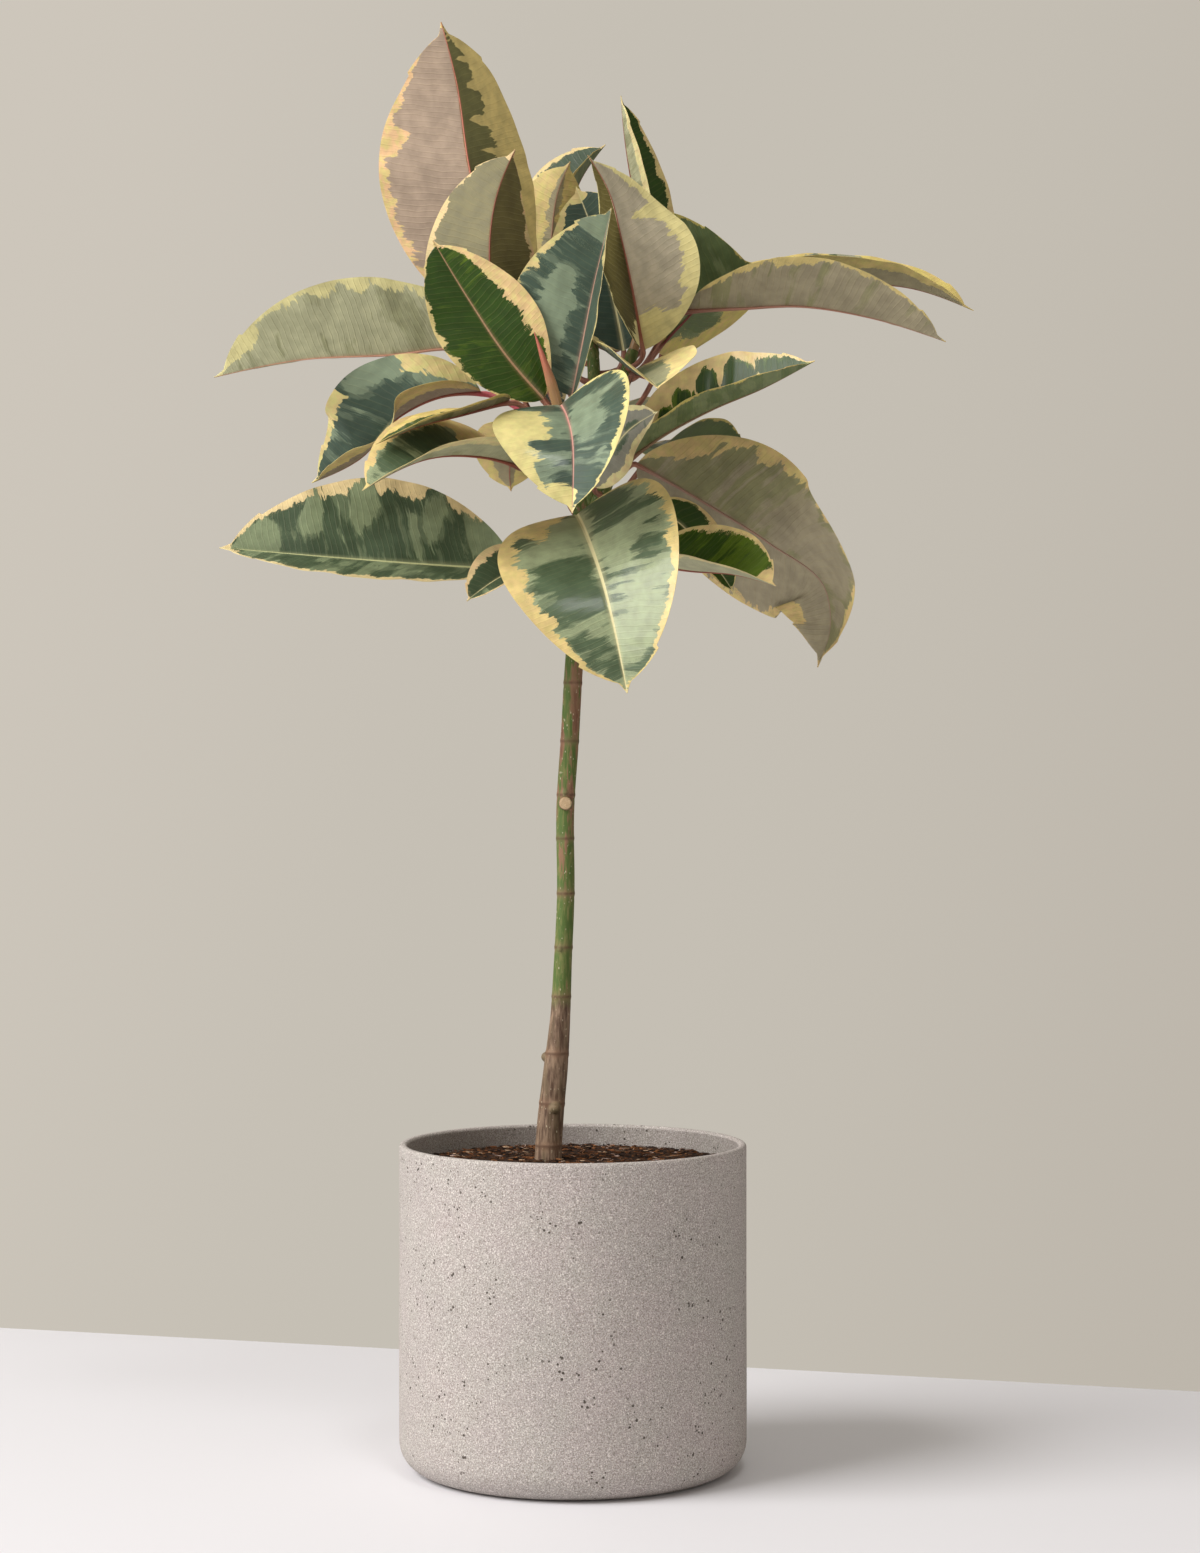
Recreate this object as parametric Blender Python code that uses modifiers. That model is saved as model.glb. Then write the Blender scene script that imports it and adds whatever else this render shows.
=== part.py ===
"""Variegated rubber plant grown as a small standard tree in a round planter.

Metres, +Z up.  The origin is the middle of the planter's flat underside.  The side with the
pruned stub faces -Y; +X is to its right.
"""
from math import cos, pi, radians, sin

import bpy
import bmesh
from mathutils import Vector

MM = 0.001

# ---- driving dimensions ---------------------------------------------------------------------

POT_DIAMETER = 0.280
POT_HEIGHT = 0.261
POT_WALL = 0.0065
POT_FLOOR = 0.012
POT_BASE_ROUND = 0.024        # outer edge round between wall and underside
POT_LIP_ROUND = 0.0028        # both edges of the lip
POT_INSIDE_ROUND = 0.014      # between inner wall and floor

SOIL_BELOW_LIP = 0.0155       # soil edge at the wall, measured down from the lip
SOIL_MOUND = 0.0035           # how far the middle of the soil stands above its edge

TRUNK_DIAMETER = 0.015        # below the fork
TRUNK_HEIGHT = 0.494          # soil surface to fork
TRUNK_DEPTH = 0.021           # part of the foot that stands in the soil
CROWN_HEIGHT = 0.405          # fork to the highest leaf tip

PETIOLE_DIAMETER = 0.0044
LEAF_THICKNESS = 0.001
MIDRIB_DEPTH = 0.0013         # ridge under the blade at its base
LEAF_TIP_WIDTH = 0.0016
SHEATH_LENGTH = 0.060         # the largest bud sheath

FIT_GAP = 0.0003              # between touching pieces
PETIOLE_GAP = 0.0005          # petiole end to bark
SOCKET_GAP = 0.0015           # round the leaning foot of the trunk

ROUND_STEPS = 48
TUBE_ROUNDNESS = 4            # twelve sides

# ---- derived --------------------------------------------------------------------------------

POT_RADIUS = POT_DIAMETER / 2
POT_INNER_RADIUS = POT_RADIUS - POT_WALL
SOIL_EDGE_Z = POT_HEIGHT - SOIL_BELOW_LIP
SOIL_TOP_Z = SOIL_EDGE_Z + SOIL_MOUND
SOIL_RADIUS = POT_INNER_RADIUS - FIT_GAP
TRUNK_RADIUS = TRUNK_DIAMETER / 2
CROWN_SCALE = CROWN_HEIGHT / 0.405     # the crown below is drawn for a 405 mm crown

# ---- the tree -------------------------------------------------------------------------------

# Trunk: (offset to the right in mm, share of the height, radius over the trunk radius).
TRUNK_LINE = (
    (-21, 0.00, 1.50), (-18, 0.10, 1.40), (-14, 0.18, 1.30), (-10, 0.265, 1.07), (-8, 0.35, 0.99),
    (-6, 0.44, 0.98), (-6, 0.585, 0.98), (-2, 0.715, 0.98), (1, 0.815, 0.98), (5, 0.91, 0.99),
    (8, 1.00, 1.00),
)
# Branches: offsets from the fork in mm (right, back, up), and radius over the trunk radius.
BRANCH_LINES = {
    "left": (((0, 0, 0), 0.87), ((-3, -18, 35), 0.83), ((-11, -34, 73), 0.75),
             ((-20, -46, 107), 0.67)),
    "right": (((0, 0, 0), 0.87), ((14, 4, 37), 0.83), ((22, 8, 62), 0.80), ((24, 12, 94), 0.75),
              ((31, 16, 126), 0.69), ((41, 20, 159), 0.64)),
    "back": (((0, 0, 0), 0.87), ((6, 20, 38), 0.83), ((9, 40, 89), 0.77), ((9, 56, 141), 0.72),
             ((6, 72, 192), 0.67)),
}
# Swellings of the bark: (share of the trunk's height, angle round it in degrees from the
# right towards the back, size over the trunk radius, how far out its middle sits).
BARK_KNOTS = (
    (0.120, -72, 0.62, 0.95), (0.198, 172, 0.52, 0.94), (0.368, -112, 0.36, 0.88),
    (0.612, -95, 0.34, 0.86),
)
STUB_HEIGHT_SHARE = 0.595     # pruned side shoot that faces -Y
STUB_RADIUS = 0.72            # over the trunk radius
STUB_REACH = 1.75             # its face, from the trunk's middle, over the trunk radius

GREEN = (0.075, 0.125, 0.055)
SAGE = (0.250, 0.285, 0.175)
CREAM = (0.640, 0.540, 0.280)
UNDER = (0.270, 0.240, 0.160)
DULL = (0.160, 0.160, 0.085)


def leaf(on, at, rib, face, width, fold, tone, **more):
    """One leaf.  on, at: branch and place along it.  rib: midrib points, offset in mm from
    there (right, back, up).  face: direction of the upper surface.  width in mm.  fold: how
    far each half of the blade is raised, in degrees."""
    shape = {"on": on, "at": at, "rib": rib, "face": face, "width": width, "fold": fold,
             "tone": tone, "curl": (0, 0), "tip_face": face, "tip_fold": fold, "fullness": 0.93}
    shape.update(more)
    return shape


LEAVES = {
    # left branch, from its foot up
    "leaf_left_1": leaf(
        "left", 0.12, ((-4, -30, 8), (3, -75, -9), (19, -135, -60), (30, -155, -110), (35, -160, -137)),
        (0, -0.7, 0.7), 150, (34, 4), SAGE, curl=(5, -8), fullness=0.86),
    "leaf_left_2": leaf(
        "left", 0.50, ((-44, -26, 6), (-75, -55, 10), (-112, -85, 5), (-161, -110, -22)),
        (0, -0.31, 0.95), 100, (26, 30), CREAM),
    "leaf_left_3": leaf(
        "left", 0.62, ((-44, 14, 66), (-60, 10, 120), (-65, 10, 165), (-60, 15, 210), (-45, 20, 250)),
        (0.25, 0.9, 0.1), 116, (66, 6), UNDER),
    "leaf_left_4": leaf(
        "left", 0.66, ((2, 6, 46), (10, 0, 85), (20, -5, 135), (29, -15, 172), (33, -25, 190)),
        (-0.15, -0.95, 0.2), 128, (5, 66), GREEN, curl=(0, 10), fullness=0.82),
    "leaf_left_5": leaf(
        "left", 0.78, ((-44, -36, 24), (-80, -60, 10), (-110, -75, 0), (-145, -80, -15)),
        (0, 0.17, 0.98), 70, (12, 12), UNDER, tip_face=(0.1, -0.2, 0.95)),
    "leaf_left_6": leaf(
        "left", 0.85, ((-66, 20, 30), (-100, 15, 25), (-130, 15, 10), (-162, 10, -25), (-200, 10, -44)),
        (0.1, -0.5, 0.85), 104, (45, 46), GREEN, fullness=1.08),
    "leaf_left_7": leaf(
        "left", 0.90, ((0, -24, 8), (5, -60, -5), (10, -100, -30), (10, -125, -85)),
        (0, -0.6, 0.8), 120, (38, 10), SAGE, curl=(8, -10)),
    "leaf_left_8": leaf(
        "left", 0.97, ((-12, 0, 8), (-40, -2, 40), (-70, 4, 85), (-100, 10, 135)),
        (0.15, -0.88, 0.4), 90, (10, 8), GREEN),
    # right branch, from its foot up
    "leaf_right_1": leaf(
        "right", 0.10, ((40, 0, 6), (65, 0, 5), (90, -5, -20), (115, -10, -55)),
        (0.4, -0.8, 0.5), 48, (20, 20), GREEN),
    "leaf_right_2": leaf(
        "right", 0.25, ((-6, -30, 6), (5, -45, 25), (20, -60, 45), (45, -75, 60)),
        (-0.1, -0.9, 0.4), 50, (12, 12), CREAM),
    "leaf_right_3": leaf(
        "right", 0.35, ((24, 6, 12), (75, 0, -18), (130, -5, -53), (175, -10, -90), (180, -5, -118),
                        (170, 5, -153)),
        (0.3, 0.8, 0.5), 142, (12, 26), UNDER, tip_fold=(4, -95)),
    "leaf_right_4": leaf(
        "right", 0.45, ((14, -22, -2), (40, -30, 15), (80, -40, 35), (120, -55, 50), (160, -65, 70)),
        (-0.35, -0.3, 0.87), 94, (44, 30), CREAM),
    "leaf_right_5": leaf(
        "right", 0.66, ((42, 62, 92), (27, 58, 145), (15, 50, 195), (8, 40, 236), (5, 35, 267)),
        (0.8, -0.5, 0.1), 78, (50, 20), GREEN),
    "leaf_right_6": leaf(
        "right", 0.72, ((12, -38, 22), (15, -70, 15), (25, -110, 5), (30, -140, -5)),
        (0, -0.1, 1), 96, (30, 36), SAGE),
    "leaf_right_7": leaf(
        "right", 0.86, ((26, 14, 24), (45, 25, 45), (70, 25, 70), (90, 20, 85), (105, 15, 95)),
        (-0.2, 0.9, 0.3), 168, (52, 0), DULL, fullness=1.5),
    "leaf_right_8": leaf(
        "right", 0.88, ((50, -12, 50), (90, -20, 50), (140, -30, 50), (195, -35, 40), (255, -40, 20)),
        (0, 0.2, 0.98), 98, (20, 28), UNDER, curl=(0, 8)),
    "leaf_right_9": leaf(
        "right", 0.90, ((12, -26, 12), (5, -45, 50), (-5, -60, 95), (-16, -65, 134), (-32, -70, 160)),
        (-0.1, 0.95, 0.2), 124, (2, 70), UNDER, curl=(0, 10), tip_fold=(75, 80)),
    # back branch, from its foot up
    "leaf_back_1": leaf(
        "back", 0.10, ((28, 30, 10), (70, 80, 10), (120, 130, -5), (170, 160, -45)),
        (0.2, 0.1, 1), 98, (15, 15), GREEN),
    "leaf_back_2": leaf(
        "back", 0.12, ((-30, 28, 68), (-50, 60, 66), (-65, 90, 54), (-65, 105, 32)),
        (0, 0.5, 0.85), 80, (10, 10), CREAM),
    "leaf_back_3": leaf(
        "back", 0.20, ((50, 50, 42), (75, 80, 55), (105, 105, 60), (130, 120, 55)),
        (0, 0.3, 0.95), 66, (20, 20), DULL),
    "leaf_back_4": leaf(
        "back", 0.42, ((-56, -26, 94), (-75, -25, 135), (-100, -30, 225), (-111, -30, 297),
                       (-123, -35, 343)),
        (0.05, 0.95, 0.2), 150, (55, 4), UNDER, fullness=1.12),
    "leaf_back_5": leaf(
        "back", 0.45, ((-34, 46, 36), (-75, 95, 75), (-120, 135, 100), (-175, 170, 110)),
        (0.1, 0.1, 1), 96, (15, 15), GREEN),
    "leaf_back_6": leaf(
        "back", 0.50, ((-84, 2, 66), (-110, 0, 70), (-165, 0, 65), (-240, -5, 60), (-310, -10, 45)),
        (0, 0.57, 0.82), 128, (42, 42), UNDER),
    "leaf_back_7": leaf(
        "back", 0.58, ((-24, 46, 32), (-55, 80, 80), (-90, 110, 140), (-115, 125, 190)),
        (0.3, -0.5, 0.8), 108, (15, 15), GREEN),
    "leaf_back_8": leaf(
        "back", 0.65, ((2, 40, -8), (5, 90, 0), (5, 150, -20), (5, 190, -65)),
        (0, 0.3, 0.95), 100, (15, 15), SAGE),
    "leaf_back_9": leaf(
        "back", 0.70, ((24, -2, 30), (15, 0, 75), (0, 0, 125), (-15, 0, 165)),
        (-0.1, -0.95, 0.2), 98, (15, 25), GREEN),
    "leaf_back_10": leaf(
        "back", 0.72, ((-30, 8, 46), (-35, 10, 85), (-35, 15, 125), (-30, 15, 160), (-20, 15, 185)),
        (0.35, 0.9, 0.1), 100, (60, 8), CREAM),
    "leaf_back_11": leaf(
        "back", 0.76, ((80, 45, 62), (140, 45, 79), (205, 35, 80), (265, 30, 75), (315, 20, 55)),
        (0, -0.35, 0.93), 100, (18, 38), CREAM),
    "leaf_back_12": leaf(
        "back", 0.82, ((-22, 62, 60), (-20, 71, 110), (-15, 81, 155), (10, 86, 195)),
        (-0.35, -0.9, 0.2), 100, (4, 70), GREEN),
    "leaf_back_13": leaf(
        "back", 0.90, ((24, 38, 4), (45, 70, 40), (60, 95, 65), (70, 110, 90)),
        (-0.3, -0.5, 0.8), 92, (15, 15), SAGE),
    # trunk, just below the fork
    "leaf_trunk_1": leaf(
        "trunk", 0.90, ((-52, -6, 30), (-120, -10, 34), (-190, -15, 39), (-287, -20, 47)),
        (0, -0.55, 0.83), 146, (19, 38), GREEN),
    "leaf_trunk_2": leaf(
        "trunk", 0.93, ((-22, -18, 22), (-45, -45, 15), (-65, -60, 4), (-88, -75, -14)),
        (0, -0.5, 0.85), 60, (20, 20), GREEN),
    "leaf_trunk_3": leaf(
        "trunk", 0.95, ((6, 42, 14), (10, 100, 10), (15, 150, -10), (15, 175, -45)),
        (0, 0.3, 0.95), 92, (15, 15), GREEN),
    "leaf_trunk_4": leaf(
        "trunk", 0.98, ((38, -34, -4), (85, -65, -15), (120, -90, -20), (150, -110, -30)),
        (0, -0.35, 0.93), 98, (34, 30), GREEN),
}

# Bud sheaths at the branch ends: direction each one points, and length over SHEATH_LENGTH.
SHEATHS = {
    "sheath_left": ("left", (-0.30, -0.22, 0.93), 1.0),
    "sheath_right": ("right", (0.25, 0.30, 0.92), 0.5),
    "sheath_back": ("back", (0.12, 0.40, 0.91), 0.6),
}

# Stations of the loft along the blade, and the eight places round each section:
# (share of the half width, side of the sheet: 1 upper, -1 under, 0 edge).
BLADE_STATIONS = (0.03, 0.09, 0.19, 0.32, 0.46, 0.60, 0.74, 0.86, 0.94, 1.0)
SECTION = ((-1, 0), (-0.5, 1), (0, 1), (0.5, 1), (1, 0), (0.5, -1), (0, -1), (-0.5, -1))
SECTION_ANGLES = (180, 135, 90, 45, 0, -45, -90, -135)
PETIOLE_STATIONS = 5
FULL_BLADE = 0.965            # share of the length where the blade has narrowed to its drip tip


# ---- helpers --------------------------------------------------------------------------------

def clear_scene():
    for item in list(bpy.data.objects):
        bpy.data.objects.remove(item, do_unlink=True)


def new_collection(name):
    group = bpy.data.collections.new(name)
    bpy.context.scene.collection.children.link(group)
    return group


def material(name, colour, roughness, metallic=0.0):
    mat = bpy.data.materials.new(name)
    mat.use_nodes = True
    shader = mat.node_tree.nodes["Principled BSDF"]
    shader.inputs["Base Color"].default_value = (*colour, 1.0)
    shader.inputs["Roughness"].default_value = roughness
    shader.inputs["Metallic"].default_value = metallic
    return mat


def add_object(name, data, group, mat=None):
    item = bpy.data.objects.new(name, data)
    group.objects.link(item)
    if mat is not None:
        data.materials.clear()
        data.materials.append(mat)
    return item


def make_cutter(item):
    item.hide_render = True
    item.display_type = "WIRE"


def arc(middle_r, middle_z, radius, start, end, steps):
    """Points of an arc in the (radius, height) plane, angles in degrees from outwards."""
    points = []
    for step in range(steps + 1):
        angle = radians(start + (end - start) * step / steps)
        points.append((middle_r + radius * cos(angle), middle_z + radius * sin(angle)))
    return points


def turned(name, profile, group, mat):
    """Solid of revolution from a profile that runs down its outer side."""
    mesh = bpy.data.meshes.new(name)
    edges = [(i, i + 1) for i in range(len(profile) - 1)]
    mesh.from_pydata([(r, 0.0, z) for r, z in profile], edges, [])
    item = add_object(name, mesh, group, mat)
    screw = item.modifiers.new("Turn", "SCREW")
    screw.axis = "Z"
    screw.angle = 2 * pi
    screw.steps = ROUND_STEPS
    screw.render_steps = ROUND_STEPS
    screw.use_merge_vertices = True
    screw.merge_threshold = 0.00001
    screw.use_smooth_shade = True
    return item


def boolean(item, other, operation):
    cut = item.modifiers.new(operation.title() + " " + other.name, "BOOLEAN")
    cut.operation = operation
    cut.solver = "EXACT"
    cut.object = other


class Line:
    """Smooth line through points, with a value at each point; place runs from 0 to 1."""

    def __init__(self, points, values=None):
        self.points = [Vector(p) for p in points]
        self.values = values or [1.0] * len(points)
        gaps = [(b - a).length for a, b in zip(self.points, self.points[1:])]
        total = sum(gaps)
        self.knots = [sum(gaps[:i]) / total for i in range(len(points))]
        self.knots[-1] = 1.0
        steps = [self._step(i) for i in range(len(gaps))]
        inner = []
        for i in range(1, len(steps)):
            before = self.knots[i] - self.knots[i - 1]
            after = self.knots[i + 1] - self.knots[i]
            inner.append((steps[i - 1] * after + steps[i] * before) / (before + after))
        if inner:
            first = 1.5 * steps[0] - 0.5 * inner[0]
            last = 1.5 * steps[-1] - 0.5 * inner[-1]
        else:
            first = last = steps[0]
        self.slopes = [first, *inner, last]

    def _step(self, i):
        return (self.points[i + 1] - self.points[i]) / (self.knots[i + 1] - self.knots[i])

    def _span(self, place):
        last = len(self.points) - 2
        i = next((k for k in range(last + 1) if place <= self.knots[k + 1]), last)
        width = self.knots[i + 1] - self.knots[i]
        return i, width, (place - self.knots[i]) / width

    def at(self, place):
        i, width, u = self._span(place)
        return ((2 * u**3 - 3 * u**2 + 1) * self.points[i]
                + (u**3 - 2 * u**2 + u) * width * self.slopes[i]
                + (3 * u**2 - 2 * u**3) * self.points[i + 1]
                + (u**3 - u**2) * width * self.slopes[i + 1])

    def direction(self, place):
        reach = 0.005
        ahead = self.at(min(place + reach, 1.0))
        return (ahead - self.at(max(place - reach, 0.0))).normalized()

    def value(self, place):
        i, _, u = self._span(place)
        return self.values[i] * (1 - u) + self.values[i + 1] * u


def tube(name, line, rings, group):
    """Round tube with closed ends along a line, as a mesh."""
    curve = bpy.data.curves.new(name, "CURVE")
    curve.dimensions = "3D"
    curve.bevel_depth = TRUNK_RADIUS
    curve.bevel_resolution = TUBE_ROUNDNESS
    curve.use_fill_caps = True
    spline = curve.splines.new("POLY")
    spline.points.add(rings - 1)
    for i, point in enumerate(spline.points):
        place = i / (rings - 1)
        point.co = (*line.at(place), 1.0)
        point.radius = line.value(place)
    draft = add_object(name + " curve", curve, group)
    bpy.context.view_layer.update()
    ready = draft.evaluated_get(bpy.context.evaluated_depsgraph_get())
    mesh = bpy.data.meshes.new_from_object(ready)
    item = add_object(name, mesh, group)
    item.matrix_world = draft.matrix_world
    bpy.data.objects.remove(draft, do_unlink=True)
    bm = bmesh.new()
    bm.from_mesh(mesh)
    bmesh.ops.remove_doubles(bm, verts=bm.verts, dist=0.00001)
    bmesh.ops.recalc_face_normals(bm, faces=bm.faces)
    bm.to_mesh(mesh)
    bm.free()
    mesh.shade_smooth()
    return item


# ---- planter and soil -----------------------------------------------------------------------

def inside_corner(inset):
    """Rounded corner between the planter's floor and inner wall, set in by a gap."""
    return arc(POT_INNER_RADIUS - POT_INSIDE_ROUND, POT_FLOOR + POT_INSIDE_ROUND,
               POT_INSIDE_ROUND - inset, -90, 0, 3)


def build_planter(group):
    lip_z = POT_HEIGHT - POT_LIP_ROUND
    profile = [(0.0, POT_FLOOR)]
    profile += inside_corner(0.0)
    profile += arc(POT_INNER_RADIUS + POT_LIP_ROUND, lip_z, POT_LIP_ROUND, 180, 90, 2)
    profile += arc(POT_RADIUS - POT_LIP_ROUND, lip_z, POT_LIP_ROUND, 90, 0, 2)
    profile += arc(POT_RADIUS - POT_BASE_ROUND, POT_BASE_ROUND, POT_BASE_ROUND, 0, -90, 5)
    profile.append((0.0, 0.0))
    return turned("planter", profile, group, material("concrete", (0.45, 0.41, 0.37), 0.85))


def soil_z(radius):
    """Height of the mounded soil at a distance from the planter's axis."""
    return SOIL_EDGE_Z + SOIL_MOUND * (1 - (radius / SOIL_RADIUS) ** 2)


def build_soil(group, cutters, trunk_line):
    shares = (0.0, 0.35, 0.65, 0.85, 1.0)
    profile = [(SOIL_RADIUS * share, soil_z(SOIL_RADIUS * share)) for share in shares]
    profile += reversed(inside_corner(FIT_GAP))
    profile.append((0.0, POT_FLOOR + FIT_GAP))
    soil = turned("soil", profile, group, material("potting mix", (0.050, 0.030, 0.018), 0.95))
    foot = trunk_line.at(0.0)
    bottom = foot.z - SOCKET_GAP
    top = POT_HEIGHT
    bpy.ops.mesh.primitive_cylinder_add(
        vertices=24, radius=TRUNK_RADIUS * trunk_line.value(0.0) + SOCKET_GAP,
        depth=top - bottom, location=(foot.x, foot.y, (top + bottom) / 2))
    socket = bpy.context.active_object
    socket.name = "root socket"
    for old in list(socket.users_collection):
        old.objects.unlink(socket)
    cutters.objects.link(socket)
    make_cutter(socket)
    boolean(soil, socket, "DIFFERENCE")
    return soil


# ---- trunk and branches ---------------------------------------------------------------------

def stem_lines():
    """Centre lines of the trunk and the branches, with their radius factors."""
    foot_z = SOIL_TOP_Z - TRUNK_DEPTH
    rise = TRUNK_HEIGHT + TRUNK_DEPTH
    trunk = [(x * MM, 0.0, foot_z + rise * share) for x, share, _ in TRUNK_LINE]
    lines = {"trunk": Line(trunk, [factor for _, _, factor in TRUNK_LINE])}
    fork = Vector(trunk[-1])
    for name, points in BRANCH_LINES.items():
        places = [fork + Vector(offset) * MM * CROWN_SCALE for offset, _ in points]
        lines[name] = Line(places, [factor for _, factor in points])
    return lines


def add_ball(name, place, radius, cutters):
    bm = bmesh.new()
    bmesh.ops.create_uvsphere(bm, u_segments=10, v_segments=6, radius=radius)
    mesh = bpy.data.meshes.new(name)
    bm.to_mesh(mesh)
    bm.free()
    mesh.shade_smooth()
    ball = add_object(name, mesh, cutters)
    ball.location = place
    return ball


def build_trunk(group, cutters, lines):
    trunk = tube("trunk", lines["trunk"], 22, group)
    trunk.data.materials.clear()
    trunk.data.materials.append(material("bark", (0.160, 0.120, 0.075), 0.75))
    joined = [add_ball("fork", lines["trunk"].at(1.0), TRUNK_RADIUS * 1.08, cutters)]
    for name in BRANCH_LINES:
        joined.append(tube("branch " + name, lines[name], 9, cutters))
    for number, (share, turn, size, out) in enumerate(BARK_KNOTS):
        middle = lines["trunk"].at(share)
        reach = TRUNK_RADIUS * lines["trunk"].value(share) * out
        aside = Vector((cos(radians(turn)), sin(radians(turn)), 0.0)) * reach
        joined.append(add_ball(f"knot {number}", middle + aside, TRUNK_RADIUS * size, cutters))
    stub_line = lines["trunk"].at(STUB_HEIGHT_SHARE)
    reach = TRUNK_RADIUS * STUB_REACH
    bpy.ops.mesh.primitive_cylinder_add(
        vertices=14, radius=TRUNK_RADIUS * STUB_RADIUS, depth=reach, rotation=(pi / 2, 0, 0),
        location=stub_line + Vector((0, -reach / 2, 0)))
    stub = bpy.context.active_object
    stub.name = "pruned stub"
    for old in list(stub.users_collection):
        old.objects.unlink(stub)
    cutters.objects.link(stub)
    joined.append(stub)
    for other in joined:
        make_cutter(other)
        boolean(trunk, other, "UNION")
    return trunk


# ---- leaves ---------------------------------------------------------------------------------

def half_width(place, fullness):
    """Half width of a blade over its widest: a broad ellipse that ends in a drip tip."""
    body = max(sin(pi * min(place / FULL_BLADE, 1.0) ** fullness), 0.0) ** 0.64
    tip = 0.7 * (1 - place) if place > 0.9 else 0.0
    return max(body, tip)


def raised(fold, curl, share):
    """Offset (outwards, up) and slope of the sheet at a share of the half width, for a blade
    half that starts at the fold angle and curls on towards its edge."""
    steps = 6
    out = up = 0.0
    for step in range(steps):
        angle = radians(fold + curl * share * (step + 0.5) / steps)
        out += cos(angle) * share / steps
        up += sin(angle) * share / steps
    return out, up, radians(fold + curl * share)


def blade_frame(shape, rib, place):
    along = rib.direction(place)
    face = Vector(shape["face"]).normalized().lerp(Vector(shape["tip_face"]).normalized(), place)
    side = along.cross(face).normalized()
    return along, side, side.cross(along)


def blade_section(shape, rib, place):
    middle = rib.at(place)
    _, side, up = blade_frame(shape, rib, place)
    width = shape["width"] / 2 * MM * CROWN_SCALE * half_width(place, shape["fullness"])
    if place >= 1.0:
        width = LEAF_TIP_WIDTH / 2
    sheet = LEAF_THICKNESS / 2
    late = place * place
    points = []
    for share, layer in SECTION:
        half = 1 if share > 0 else 0
        if share == 0:
            ridge = MIDRIB_DEPTH * (1 - place) if layer < 0 else 0.0
            points.append(middle + up * layer * (sheet + ridge))
            continue
        fold = shape["fold"][half] * (1 - late) + shape["tip_fold"][half] * late
        out, rise, slope = raised(fold, shape["curl"][half], abs(share))
        sign = 1 if share > 0 else -1
        place_out = out * width - sin(slope) * layer * sheet
        place_up = rise * width + cos(slope) * layer * sheet
        points.append(middle + side * sign * place_out + up * place_up)
    return points


def petiole_sections(shape, rib, stem, root):
    """Round sections from the bark to the blade; the first lies flat against the bark."""
    axis = stem.direction(shape["at"])
    away = rib.at(0.0) - root
    away = (away - axis * away.dot(axis)).normalized()
    start = root + away * (TRUNK_RADIUS * stem.value(shape["at"]) + PETIOLE_GAP)
    end = rib.at(0.0)
    reach = (end - start).length * 0.9
    into = rib.direction(0.0)
    _, side, _ = blade_frame(shape, rib, 0.0)
    sections = []
    for step in reversed(range(PETIOLE_STATIONS)):
        u = step / (PETIOLE_STATIONS - 1)
        middle = ((2 * u**3 - 3 * u**2 + 1) * start + (u**3 - 2 * u**2 + u) * reach * away
                  + (3 * u**2 - 2 * u**3) * end + (u**3 - u**2) * reach * into)
        along = ((6 * u**2 - 6 * u) * (start - end) + (3 * u**2 - 4 * u + 1) * reach * away
                 + (3 * u**2 - 2 * u) * reach * into).normalized()
        side = (side - along * side.dot(along)).normalized()
        up = side.cross(along)
        ring = []
        for turn in SECTION_ANGLES:
            angle = radians(turn)
            ring.append(middle + (side * cos(angle) + up * sin(angle)) * PETIOLE_DIAMETER / 2)
        sections.append(ring)
    return sections[::-1]


def loft(name, sections):
    """Closed skin through sections that change from a round petiole to a thin folded blade."""
    mesh = bpy.data.meshes.new(name)
    bm = bmesh.new()
    rings = [[bm.verts.new(point) for point in section] for section in sections]
    count = len(SECTION)
    for ring, following in zip(rings, rings[1:]):
        for i in range(count):
            k = (i + 1) % count
            bm.faces.new((ring[i], ring[k], following[k], following[i]))
    bm.faces.new(rings[0][::-1])
    bm.faces.new(rings[-1])
    bmesh.ops.triangulate(bm, faces=bm.faces)
    bmesh.ops.recalc_face_normals(bm, faces=bm.faces)
    bm.to_mesh(mesh)
    bm.free()
    mesh.shade_smooth()
    return mesh


def build_leaf(name, shape, lines, group):
    stem = lines[shape["on"]]
    root = stem.at(shape["at"])
    rib = Line([root + Vector(offset) * MM * CROWN_SCALE for offset in shape["rib"]])
    sections = petiole_sections(shape, rib, stem, root)
    sections += [blade_section(shape, rib, place) for place in BLADE_STATIONS]
    mat = material("blade " + name, shape["tone"], 0.45)
    return add_object(name, loft(name, sections), group, mat)


# ---- bud sheaths ----------------------------------------------------------------------------

def build_sheath(name, on, points_to, length_share, lines, group):
    """Slender pointed sheath that stands on a branch end."""
    stem = lines[on]
    base = stem.at(1.0)
    lean = stem.direction(1.0)
    aim = Vector(points_to).normalized()
    length = SHEATH_LENGTH * CROWN_SCALE * length_share
    root = base + lean * FIT_GAP * 2
    points = [root, root + (lean * 0.7 + aim * 0.3) * length * 0.3,
              root + (lean * 0.2 + aim * 0.8) * length * 0.65, root + aim * length]
    factor = stem.value(1.0)
    profile = [factor * 0.85, factor * 0.95, factor * 0.62, factor * 0.12]
    item = tube(name, Line(points, profile), 8, group)
    item.data.materials.clear()
    item.data.materials.append(material("blush " + name, (0.500, 0.175, 0.120), 0.5))
    return item


# ---- the whole plant ------------------------------------------------------------------------

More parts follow.
